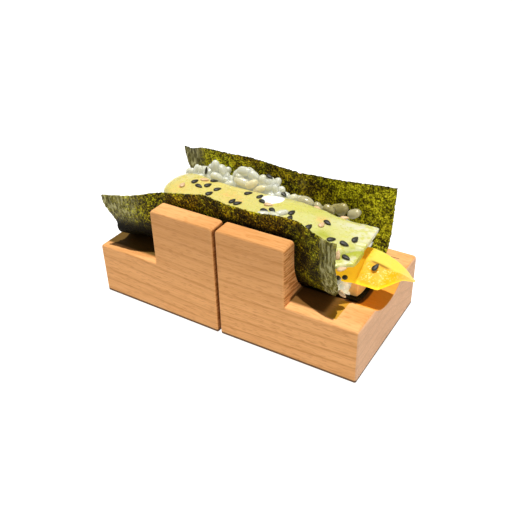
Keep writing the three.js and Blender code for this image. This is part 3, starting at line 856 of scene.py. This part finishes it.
def far_top_at(x):
    swell = hill(x, -13, 1.8, 13) + hill(x, -36, 1, 9)
    notch = hill(x, 9.8, 0.3, 3.2) + 0.6 * clamp(1 - abs(x - 9.9) / 0.9)
    return FAR_TOP + swell - notch + 0.075 * max(x - 12, 0) - 2.2 * ramp(-x, 38, 48)


def near_flare_at(x):
    to_left = ramp(-x, 30, 48)
    to_right = math.sin(math.pi / 2 * clamp((x - 30.3) / 19))
    return FLARE * max(to_left, to_right)


def nori_point(along, across):
    x = lerp(nori_left_edge(across), nori_right_edge(across), along)
    is_near = across < 0
    quarter = NORI_RADIUS * math.pi / 2
    top = near_top_at(x) if is_near else far_top_at(x)
    run = abs(across) * (quarter + top - GROOVE_Z)
    angle = min(run, quarter) / NORI_RADIUS
    radius = NORI_RADIUS + 0.8 * ramp(x, 43, 50) * (1 - ramp(abs(across), 0.2, 0.45))
    y = GROOVE_Y + (-1 if is_near else 1) * radius * math.sin(angle)
    z = GROOVE_Z - radius * math.cos(angle) + max(run - quarter, 0)
    height = 0.5 * ramp(z, LOW_HEIGHT, 31) + 0.5 * ramp(z, 33, 48)
    if is_near:
        y -= near_flare_at(x) * height
        y += 0.5 * math.sin(x / 4.3) * ramp(abs(x), 33, 45) * height
        y -= 2.8 * ramp(-x, 45, 54) * plateau(z, 24.2, 26, 28, 34)
    else:
        y += 4.2 * ramp(-x, 38, 52) * ramp(z, 40, 54)
        y += 0.4 * math.sin(x / 6.1) * ramp(z, 49, 54)
    return x, y, z


def nori_tone(x, z, across):
    """Shares of glow (lime flecks), grey fibres, brown and darkness for a place on the sheet. The grey is
    partly a painted sheen at the left corners and on the near flap past the crease. The darkness is mostly
    painted shade, low at the leaves' ends and in a band just above the tall blocks; it also draws a thin
    line along the far top edge and darkens the near leaf from x 20 to 42.
    """
    if across > 0:
        rim = far_top_at(x) - z
        glow = 0.56 + 0.32 * ramp(x, 12, 34) + 0.33 * ramp(-x, 6, 24) + 0.10 * ramp(z, 46, 54)
        brown = 0.70 - 0.60 * ramp(x, 14, 34) - 0.50 * ramp(-x, 20, 32)
        # Grey fibres at the left corner, partly a painted sheen.
        grey = ramp(-x, 36, 42)
        leaf_scrap = spots(x, z, LEAF_SCRAPS)
        # A thin dark line along the top edge, and painted shade low at the right end.
        dark = 0.8 * ramp(-rim, -0.7, 0) + 0.45 * ramp(x, 40, 52) * ramp(-z, -42, -32)
        dark += 0.9 * ramp(x, 48.2, 49.2) * ramp(-z, -28, -24)
        return clamp(glow + leaf_scrap), clamp(grey + 0.35 * leaf_scrap), clamp(brown), clamp(dark)
    rim = near_top_at(x) - z
    glow = 0.31 + 0.16 * ramp(-x, 38, 48) + 0.22 * ramp(-rim, -4, 0)
    # Grey fibres at the left corner and on the flap past the crease, partly a painted sheen.
    grey = 0.75 * ramp(-x, 36, 50) * ramp(z, 30, 42) + 0.75 * ramp(x, CREASE_X, CREASE_X + 0.8)
    brown = 0.80 - 0.5 * ramp(abs(x - 4), 26, 38)
    # Painted shade low at both ends and a painted shadow just above the tall blocks; the near leaf is also
    # darker from x 20 to 42.
    dark = 0.95 * ramp(-x, 24, 32) * ramp(-z, -43, -32) + 0.35 * plateau(x, 20, 32, 41, 42)
    dark += 0.95 * ramp(x, 44, 46.5) * ramp(-z, -30, -26)
    dark += 0.75 * ramp(-z, -51.2, -49.6) * plateau(x, -8, 0, 27, 31)
    return clamp(glow), clamp(grey), clamp(brown), clamp(dark)


def make_nori():
    shape = bmesh.new()
    bmesh.ops.create_grid(shape, x_segments=NORI_COLUMNS, y_segments=NORI_ROWS, size=0.5)
    tone = shape.verts.layers.float_color.new("tone")
    for vert in shape.verts:
        along = vert.co.x + 0.5
        across = clamp(vert.co.y * 2, -1, 1)
        x, y, z = nori_point(along, across)
        crinkle = noise.noise((x * 0.35, y * 0.35, z * 0.35)) * 0.22
        crinkle += noise.noise((x * 0.9, y * 0.9, z * 0.9 + 7)) * 0.12
        rim = max(abs(along - 0.5) * 2, abs(across))
        ragged = 0.35 * noise.noise((x * 1.3, y * 1.3, z * 1.3)) * ramp(rim, 0.97, 1.0)
        outward = -1 if across < 0 else 1
        side = ramp(abs(across), 0.3, 0.7)
        vert[tone] = nori_tone(x, z, across)
        vert.co = place(x + ragged, y + outward * crinkle * side, z + ragged + crinkle * (1 - side))
    sheet = finished("nori_leaf", shape, nori_material())
    wall = sheet.modifiers.new("wall", "SOLIDIFY")
    wall.thickness = NORI_THICKNESS * MM
    wall.offset = 0
    settle(sheet, "nori_sheet")


# ---- fillings -----------------------------------------------------------------------------
# Spots on the slab: place along and across, strength, size along and across.
PEACH_SPOTS = (
    (-27.4, 34, 1, 2.2, 2.2), (-12, 28, 1, 2.6, 2.6), (-6, 26, 1, 2.4, 2.4), (7.7, 26.9, 1, 1.6, 1.6),
    (30, 30, 1, 2.2, 2.2), (-33, 22, 1, 2.5, 2.5))
FROST_SPOTS = ((12.5, 21.5, 0.8, 5, 3), (38, 32.5, 0.9, 5, 3), (-39, 33, 0.7, 6, 4))
CLEAR_SPOTS = ((34.6, 21.2, 1.1, 3.2, 2.0),)
# A painted highlight: a white oval on the slab's top.
GLEAM_X = 6.4
GLEAM_Y = 33.2
GLEAM_LENGTH = 5.0
GLEAM_WIDTH = 5.6


def slab_near_side(x):
    return SLAB_NEAR + 9.0 * ramp(-x, 22, 43) + 6 * ramp(x, 36, 43) + 6.2 * ramp(x, 43, 50)


def slab_far_side(x):
    return SLAB_FAR + 0.4 * math.sin(x / 9) - 1.2 * ramp(x, 42, 50)


def slab_top_at(x):
    return SLAB_TOP + 0.4 * math.sin(x / 7.5) - 3.2 * ramp(x, 12, 52) - 1.2 * ramp(x, 40, 50)


def slab_bottom_at(x):
    return SLAB_BOTTOM + 3.4 * ramp(x, 40, 50)


def slab_tilt_at(x):
    return 0.12 * ramp(x, 38, 50)


def slab_outline(t, angle, reach):
    t = t ** 1.15  # closer rings at the left end
    left_round = end_round(t / 0.09)
    x = lerp(SLAB_LEFT, SLAB_RIGHT, t)
    near, far = slab_near_side(x), slab_far_side(x)
    top, bottom = slab_top_at(x), slab_bottom_at(x)
    back, up = rounded_box(angle, SLAB_ROUNDNESS)
    shrink = reach * lerp(left_round, 1, 0.12)
    across = back * (far - near) / 2 * shrink
    z = between(bottom, top, up * shrink) + slab_tilt_at(x) * across
    z += slab_ripple(x, across, up) * reach
    return x, (near + far) / 2 + across, z


def slab_ripple(x, across, up):
    """Soft lumps all over, and fine ribs towards the thin right end."""
    lumps = 0.32 * noise.noise((x * 0.2, across * 0.28, 3)) + 0.12 * noise.noise((x * 0.6, across * 0.7, 5))
    ribs = 0.16 * math.sin(across * 2.6 + 0.8 * math.sin(x * 0.5)) * ramp(x, 38, 47)
    return (lumps + ribs) * ramp(up, -0.2, 0.6)


def slab_tone(x, y, z):
    """Shares of cream (below 0: deep green, partly painted shade), frost, painted gleam and peach for a
    place on the slab.
    """
    cream = 1 - 0.55 * ramp(x, -12, 6) - 0.45 * ramp(x, 6, 26)
    # Clear spots, and painted shade on the lower side from x 10 to 30, turn deep green.
    cream -= spots(x, y, CLEAR_SPOTS) + 0.7 * ramp(-z, -44.5, -42.5) * ramp(x, 10, 30)
    frost = ramp(x, 36, 47) * (0.45 + 0.55 * ramp(y, 24, 34)) + spots(x, y, FROST_SPOTS)
    wobble = 1 + 0.14 * math.sin(1.3 * x + 0.9 * y)
    from_gleam = ((x - GLEAM_X) / GLEAM_LENGTH) ** 2 + ((y - GLEAM_Y) / GLEAM_WIDTH) ** 2
    gleam = math.exp(-(from_gleam ** 2) * wobble)
    return clamp(cream, -1, 1), clamp(frost), clamp(gleam), clamp(spots(x, y, PEACH_SPOTS))


def slice_tone(x, y, _):
    """As on the slab: deep green, with a painted shadow under the slab's edge, paler towards the free edge.
    """
    # Painted shadow of the slab's edge.
    under = ramp(y, slab_near_side(x) - 5.5, slab_near_side(x) - 1.5)
    frost = 0.75 * ramp(x, 42, 48) * (1 - under)
    return -0.25 - 0.7 * under, clamp(frost), 0, 0


def slab_surface(x, y):
    """Height of the slab's top skin over a point."""
    near, far = slab_near_side(x), slab_far_side(x)
    top, bottom = slab_top_at(x), slab_bottom_at(x)
    share = clamp((y - (near + far) / 2) / ((far - near) / 2), -0.98, 0.98)
    across = share * (far - near) / 2
    rise = (1 - abs(share) ** SLAB_ROUNDNESS) ** (1 / SLAB_ROUNDNESS)
    return between(bottom, top, rise) + slab_tilt_at(x) * across


def slice_outline(t, angle, reach):
    x = lerp(SLICE_LEFT, SLICE_RIGHT, t)
    back, up = rounded_box(angle, SLAB_ROUNDNESS)
    near = 10.3 + 4.4 * ramp(x, 44, 50.5)
    y = between(near, SLICE_FAR, back * reach)
    lean = 0.05 * (y - near)
    thin = lerp(end_round(t / 0.12), 1, 0.2) * reach
    return x, y, SLICE_MIDDLE_Z + lean + up * SLICE_HALF_THICKNESS * thin


def wedge_corners(x):
    """(y, z) of the back foot, back top, ridge and front foot, drawn in towards the tip."""
    share = max(x - WEDGE_TAPER, 0) / (WEDGE_TIP - WEDGE_TAPER)
    front = WEDGE_FRONT - 1.1 * ramp(-x, -50, -45) + 10.1 * clamp((x - 59.2) / 5.6)
    front += 0.9 * ramp(x, 64.8, WEDGE_TIP)
    back = WEDGE_BACK - 6 * share ** 3
    ridge = WEDGE_RIDGE + 1.6 * ramp(x, 58, 65)
    base = WEDGE_BASE + 0.8 * share ** 2
    return ((back - 1.4 * (1 - share), base), (back, WEDGE_BACK_TOP - 5.6 * share ** 1.4),
            (ridge, WEDGE_RIDGE_TOP - 4.8 * share ** 1.5), (front, base))


def wedge_side(corners, turn):
    """A point on the four-sided outline, turn going once round from 0 to 1."""
    side = int((turn % 1) * 4) % 4
    share = (turn % 1) * 4 - side
    start, end = corners[side], corners[(side + 1) % 4]
    return lerp(start[0], end[0], share), lerp(start[1], end[1], share)


def wedge_outline(t, angle, reach):
    """The four-sided outline with its corners eased by averaging over a short stretch."""
    x = lerp(WEDGE_LEFT, WEDGE_TIP, t)
    corners = wedge_corners(min(x, WEDGE_TIP - 0.8))
    turn = angle / (2 * math.pi)
    near_by = [wedge_side(corners, turn + step * WEDGE_EASING / 3) for step in (-3, -2, -1, 0, 1, 2, 3)]
    y = sum(point[0] for point in near_by) / len(near_by)
    z = sum(point[1] for point in near_by) / len(near_by)
    middle_y = sum(corner[0] for corner in corners) / 4
    middle_z = sum(corner[1] for corner in corners) / 4
    uneven = 0.15 * noise.noise((x * 0.3, y * 0.5, z * 0.5)) * reach
    return x, lerp(middle_y, y, reach), lerp(middle_z, z, reach) + uneven


def strip_outline(t, angle, reach):
    back, up = rounded_box(angle, 3.8)
    ripple = 0.25 * math.sin(5 * angle + 9 * t)
    half_height = STRIP_HALF_UP if up > 0 else STRIP_HALF_DOWN
    y = STRIP_Y + back * (STRIP_HALF_WIDTH + ripple) * reach
    return lerp(STRIP_LEFT, STRIP_RIGHT, t), y, STRIP_Z + up * (half_height + ripple) * reach


def wedge_tone(x, y, z):
    """Shares of pale upper side, foam (below 0: deep orange, painted shade from x 34 to 50 and along the
    lower front edge), clear tip and crease.
    """
    ridge_y = wedge_corners(min(x, WEDGE_TIP))[2][0]
    upper = ramp(y, ridge_y - 0.4, ridge_y + 0.4)
    foam = (1 - upper) * (1 - 0.7 * ramp(x, 57, 63)) * ramp(z, 31.8, 33.2)
    # Painted shade: deep orange where the slab's shadow falls and along the lower front edge.
    orange = ramp(x, 34, 42) * (1 - ramp(x, 49, 52.5) + (1 - upper) * (1 - ramp(z, 31.5, 33.0)))
    tip = ramp(x, 62, 67)
    crease = hill(y, ridge_y + 0.2, 1.0, 0.6) * plateau(x, 51, 54, 58, 61)
    return 0.9 * upper, lerp(foam, -1, clamp(orange)), 0.75 * tip, clamp(crease)


def make_fillings():
    flesh = moist_flesh_group()
    pale_green = slab_material(flesh)
    slab = finished("green_slab", bar(72, 150, 7, slab_outline, slab_tone), pale_green)
    settle(subdivided(slab), "pale_green_slab")
    slice_piece = finished("green_slice", bar(40, 60, 5, slice_outline, slice_tone), pale_green)
    settle(subdivided(slice_piece), "pale_green_slice")
    wedge = finished("yellow_bar", bar(96, 170, 6, wedge_outline, wedge_tone), wedge_material(flesh))
    settle(subdivided(wedge), "yellow_wedge")
    strip = finished("tan_bar", bar(40, 60, 5, strip_outline), tan_material(flesh))
    settle(subdivided(strip), "tan_strip")


# ---- rice ---------------------------------------------------------------------------------
BANK_HILLS = (
    (-39, 3, 7), (-28.5, 6.6, 5.5), (-11.5, 8.4, 9), (0.5, 4.6, 4.2), (12.5, 1.8, 4.5), (31, 3.2, 6.5))


def bank_top_at(x):
    return RICE_BANK_LOW + hills(x, BANK_HILLS)


def bank_outline(t, angle, reach):
    x = lerp(RICE_LEFT + 2, RICE_RIGHT - 2, t)
    back, up = rounded_box(angle, 2.6)
    top, bottom = bank_top_at(x) - 0.8 - 4.5 * ramp(x, 16, 22), RICE_BANK_FOOT
    shrink = lerp(end_round(min(t, 1 - t) / 0.05), 1, 0.3) * reach
    y = RICE_BANK_Y + back * RICE_BANK_HALF_WIDTH * shrink
    return x, y, between(bottom, top, up * shrink)


# Yellow stain on the bank: place along, height, strength, size along and up.
STAINS = ((-9, 45.5, 0.9, 6, 2.8),)
# Rows of loose grains on the bank: place across, and depth under its top.
BANK_ROWS = ((41.6, 2.9), (43.8, 1.7), (46.0, 1.3))
BANK_COLUMNS = 17
# The open ends: place along, the way out, and the stretch of the groove's circle that has grains.
RICE_ENDS = ((RICE_LEFT, -1, -2.95, -0.2), (RICE_RIGHT, 1, -2.1, -0.75))
# Rings of grains there: distance from the groove's axis and count.
END_RINGS = ((15.9, 11), (12.6, 9), (9.4, 6))
# On the crest of the bank: place along, height, lean from level in degrees, length and width.
CREST_GRAINS = (
    (-42.6, 44.6, 30, 4.8, 2.8), (-39.2, 46.0, 84, 5.2, 2.7), (-36.6, 46.0, 95, 5.4, 2.8),
    (-34.2, 46.3, 80, 5.2, 2.6), (-28.8, 50.2, 78, 5.6, 3.7), (-25.4, 48.9, 118, 5.2, 3.4),
    (-24.3, 46.6, -8, 5.0, 3.3), (-19.6, 45.4, 8, 6.6, 3.6), (-17.2, 49.3, 52, 5.2, 3.3),
    (-13.6, 51.4, 6, 6.4, 3.4), (-9.2, 50.4, -24, 5.6, 3.4), (-4.6, 48.6, -55, 5.4, 3.3),
    (-1.2, 48.6, -30, 5.2, 3.6), (1.6, 46.6, -62, 5.0, 3.3), (9.7, 44.2, 60, 5.0, 3.4),
    (15.6, 44.5, -6, 6.6, 3.7), (21.4, 43.0, -36, 5.0, 3.0), (26.3, 43.6, -20, 5.2, 3.1),
    (31.8, 45.2, 52, 5.4, 3.9), (36.8, 44.2, 28, 5.2, 3.4))
# On the slab: place along, place across, heading in degrees.
STRAY_GRAINS = ((9.8, 19.6, 30), (14.0, 20.6, -12), (15.8, 23.8, 50))
STRAY_SIZE = (5.0, 2.7)
# At the right end, in sight of the camera: place, heading and lean in degrees, length, width.
END_CLUSTER = (
    (44.8, 11.0, 31.6, -70, 48, 5.0, 3.4), (45.6, 15.0, 29.6, -80, 30, 5.0, 3.8),
    (45.2, 14.6, 27.2, -75, -20, 5.2, 3.6), (45.4, 19.0, 27.6, -85, 75, 5.2, 3.4),
    (44.4, 12.4, 29.4, -75, 60, 5.0, 3.4), (46.2, 18.4, 25.0, -80, 40, 4.6, 3.2),
    (46.2, 15.8, 26.0, -60, 5, 4.4, 3.0))


def bed_outline(t, angle, reach):
    """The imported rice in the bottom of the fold, flat on top."""
    x = lerp(RICE_LEFT, RICE_RIGHT, t)
    radius = NORI_RADIUS - RICE_CLEARANCE
    y = GROOVE_Y + radius * math.cos(angle) * reach
    z = GROOVE_Z + radius * math.sin(angle) * reach
    low_corner = 5.5 * ramp(x, 34, 41) * ramp(-y, -18.5, -15.5)
    return x, y, min(z, RICE_TOP - 5 * (1 - reach) - max(low_corner, 5 * ramp(x, 36, 43)))


def kept_inside(point):
    """The point, pressed back to the inner side of the nori where it would go through."""
    away = Vector((0, point.y - GROOVE_Y, min(point.z - GROOVE_Z, 0)))
    limit = NORI_RADIUS - GRAIN_CLEARANCE
    return point if away.length < limit else point - away * (1 - limit / away.length)


def grain_mesh(centre, turn, size, tint):
    """One grain: a blunt rounded bar, fuller at one end, slightly bent, with its tint."""
    grain = bmesh.new()
    tint_layer = grain.verts.layers.float_color.new("tint")
    bmesh.ops.create_uvsphere(grain, u_segments=12, v_segments=9, radius=1)
    length, width = size
    for vert in grain.verts:
        along = math.copysign(abs(vert.co.z) ** 0.85, vert.co.z)
        girth = (1 - 0.12 * along) * width / 2
        blunt = 1 + 0.10 * abs(along)
        local = Vector((along * length / 2, vert.co.x * girth * blunt, vert.co.y * girth * blunt * 0.86))
        local.z += 0.03 * local.x ** 2
        vert[tint_layer] = (*tint, 1)
        vert.co = place(*kept_inside(turn @ local + Vector(centre)))
    return as_mesh("grain", grain)


def gather(meshes):
    """One bmesh of many small meshes, which are used up."""
    heap = bmesh.new()
    for mesh in meshes:
        heap.from_mesh(mesh)
        bpy.data.meshes.remove(mesh)
    return heap


def joined(*shapes):
    """One bmesh of several."""
    return gather([as_mesh("part", shape) for shape in shapes])


def random_turn(draw, steepness):
    """Lies along the bank more than across it, tipped by up to steepness radians."""
    yaw = draw.uniform(-0.4, 1.2) + math.pi * draw.randint(0, 1)
    pitch = draw.uniform(-1, 1) * steepness
    roll = draw.uniform(0, 2 * math.pi)
    return Matrix.Rotation(yaw, 3, "Z") @ Matrix.Rotation(pitch, 3, "Y") @ Matrix.Rotation(roll, 3, "X")


def grain_size(draw):
    return GRAIN_LENGTH * draw.uniform(0.85, 1.05), GRAIN_WIDTH * draw.uniform(0.9, 1.1)


def grain_tint(draw, x, z):
    """Paleness, yellow stain and painted olive shade, growing towards the right."""
    stain = spots(x, z, STAINS) + 0.3 * ramp(x, 4, 12)
    # Painted shade, growing towards the right.
    shade = 0.4 * ramp(x, 10, 14) + 0.32 * ramp(x, 18, 28) - 0.3 * ramp(x, 34, 36)
    return draw.random(), clamp(0.8 * stain + 0.06 * draw.random()), shade


def bank_grains(draw):
    """Loose grains all over the bank, in three rows from the slab's edge back to the leaf."""
    meshes = []
    for column in range(BANK_COLUMNS):
        for y, drop in BANK_ROWS:
            x = lerp(RICE_LEFT + 3.5, RICE_RIGHT - 3.5, (column + draw.random()) / BANK_COLUMNS)
            if x > 17 and (y < 45 or column % 2):
                continue
            z = bank_top_at(x) - drop + draw.uniform(-0.4, 0.4)
            spot = (x, y + draw.uniform(-0.5, 0.5), z)
            meshes.append(grain_mesh(spot, random_turn(draw, 0.8), grain_size(draw), grain_tint(draw, x, z)))
    return meshes


def crest_grains(draw):
    """The grains that stand out along the top of the bank, each with its lean in degrees."""
    meshes = []
    for x, z, lean, length, width in CREST_GRAINS:
        turn = Matrix.Rotation(math.radians(-lean), 3, "Y") @ Matrix.Rotation(draw.uniform(0, 6), 3, "X")
        spot = (x, RICE_BANK_Y + draw.uniform(-0.6, 0.4), z)
        meshes.append(grain_mesh(spot, turn, (length * 1.1, width * 1.22), grain_tint(draw, x, z)))
    return meshes


def end_grains(draw):
    """Grains round the filling at both open ends, lying along the fold's curve."""
    meshes = []
    for end_x, outward, first_angle, last_angle in RICE_ENDS:
        for out, count in END_RINGS:
            for number in range(count):
                angle = lerp(first_angle, last_angle, (number + draw.random()) / count)
                spot = (end_x + outward * draw.uniform(-0.3, 1.0),
                        GROOVE_Y + out * math.cos(angle), GROOVE_Z + out * math.sin(angle))
                turn = Matrix.Rotation(angle + draw.uniform(0.7, 2.4), 3, "X") @ Matrix.Rotation(
                    math.pi / 2 + draw.uniform(-0.4, 0.4), 3, "Z")
                meshes.append(grain_mesh(spot, turn, grain_size(draw), (draw.random(), 0.04, 0)))
    return meshes


def end_cluster(draw):
    """The grains that stand out at the right end, stained a little, with little painted shade and a strong
    painted glow.
    """
    return [grain_mesh((x, y, z), turned(heading, lean), (length, width), (draw.random(), 0.2, -0.7))
            for x, y, z, heading, lean, length, width in END_CLUSTER]


def stray_grains(draw):
    """A few grains lying on the slab."""
    return [grain_mesh((x, y, slab_surface(x, y) + LYING_LIFT), turned(heading, 0), STRAY_SIZE,
                       (draw.random(), 0.12, 0))
            for x, y, heading in STRAY_GRAINS]


def make_rice():
    draw = random.Random(5)
    rice = rice_material()
    core = joined(bar(40, 60, 5, bed_outline), bar(28, 90, 3, bank_outline))
    settle(finished("rice_core", core, rice), "rice_bed")
    loose = bank_grains(draw) + crest_grains(draw) + end_grains(draw) + stray_grains(draw)
    loose += end_cluster(draw)
    settle(finished("rice_grains", gather(loose), rice), "rice_bed")


# ---- sesame -------------------------------------------------------------------------------
def seed_shape(target, centre, turn, plumpness=1.0):
    """A flat teardrop, pointed at one end."""
    made = bmesh.ops.create_uvsphere(target, u_segments=14, v_segments=12, radius=1)
    for vert in made["verts"]:
        point = clamp(0.5 + 0.5 * vert.co.z)
        taper = lerp(1.0, 0.42, point ** 1.6)
        local = Vector((vert.co.z * SEED_LENGTH / 2, vert.co.x * taper * SEED_WIDTH / 2,
                        vert.co.y * lerp(1, 0.7, point) * plumpness * SEED_THICKNESS / 2))
        vert.co = place(*(turn @ local + Vector(centre)))


def seeds_on_slab(spots):
    """A bmesh of seeds lying on the slab. A spot is (x, y, heading in degrees)."""
    shape = bmesh.new()
    for x, y, heading in spots:
        z = slab_surface(x, y)
        slope_x = (slab_surface(x + SLOPE_STEP, y) - slab_surface(x - SLOPE_STEP, y)) / (2 * SLOPE_STEP)
        slope_y = (slab_surface(x, y + SLOPE_STEP) - slab_surface(x, y - SLOPE_STEP)) / (2 * SLOPE_STEP)
        normal = Vector((-slope_x, -slope_y, 1)).normalized()
        ahead = Vector((math.cos(math.radians(heading)), math.sin(math.radians(heading)), 0))
        ahead = (ahead - normal * ahead.dot(normal)).normalized()
        turn = Matrix((ahead, normal.cross(ahead), normal)).transposed()
        seed_shape(shape, (x, y, z + LYING_LIFT), turn)
    return shape


def propped_seeds(spots):
    """Seeds leaning on something: place, then heading and lean in degrees."""
    shape = bmesh.new()
    for x, y, z, heading, lean in spots:
        seed_shape(shape, (x, y, z), turned(heading, lean))
    return shape


# On the slab: place along, place across, heading in degrees.
BLACK_ON_SLAB = (
    (-29.8, 29.8, 75), (-26.1, 27.3, -10), (-23.4, 30.1, 70), (-24.0, 35.6, 60), (-18.0, 29.2, 65),
    (-18.9, 24.4, 68), (-5.2, 32.7, 50), (-7.1, 23.6, 80), (-4.2, 22.9, 48), (0.9, 31.8, 78),
    (4.1, 28.3, -26), (8.7, 22.1, -6), (11.3, 23.8, -28), (18.6, 26.3, 78), (19.8, 22.6, 98),
    (28.2, 22.1, 80), (32.5, 29.2, -20), (38.6, 20.1, 44), (45.6, 26.0, 82), (43.4, 21.2, 3))
PALE_ON_SLAB = ((-27.6, 33.6, 40), (-32.4, 24.6, 100), (7.7, 26.9, 6), (31.4, 26.4, 86))
# Leaning: place, heading, lean.
BLACK_PROPPED = (
    (-32.0, 41.2, 48.6, 20, 80), (-2.1, 44.6, 51.3, -15, -12), (46.6, 16.0, 42.9, -15, -4),
    (55.0, 24.3, 36.4, 70, 24), (5.4, 43.2, 45.6, -24, -18))
PALE_PROPPED = (
    (22.6, 40.3, 44.8, -9, -8), (34.9, 39.4, 44.3, 20, 4), (43.9, 14.6, 43.8, 95, 60),
    (48.0, 9.6, 42.0, 38, 8), (48.2, 10.6, 30.4, 2, -38))
# Black pepper-like seeds seen end on, at the open end.
END_ON_SEEDS = ((47.0, 15.2, 34.6), (46.4, 10.2, 37.2))
END_ON_TURN = (-58, 33)
END_ON_PLUMPNESS = 1.6
SESAME_BLACK = ((0.010, 0.009, 0.004, 1), (0.055, 0.05, 0.03, 1))
SESAME_PALE = ((0.62, 0.40, 0.20, 1), (0.80, 0.58, 0.34, 1))


def end_on_seeds():
    """Plump seeds whose long axis points out of the open end and up."""
    shape = bmesh.new()
    for spot in END_ON_SEEDS:
        seed_shape(shape, spot, turned(*END_ON_TURN), END_ON_PLUMPNESS)
    return shape


def make_sesame():
    black = seed_material("black_sesame", *SESAME_BLACK, 0.5)
    pale = seed_material("pale_sesame", *SESAME_PALE, 0.45)
    black_seeds = joined(seeds_on_slab(BLACK_ON_SLAB), propped_seeds(BLACK_PROPPED), end_on_seeds())
    pale_seeds = joined(seeds_on_slab(PALE_ON_SLAB), propped_seeds(PALE_PROPPED))
    settle(finished("black_seeds", black_seeds, black), "pale_green_slab")
    settle(finished("pale_seeds", pale_seeds, pale), "pale_green_slab")


make_camera()
make_light()
make_floor()
make_holder()
make_nori()
make_fillings()
make_rice()
make_sesame()
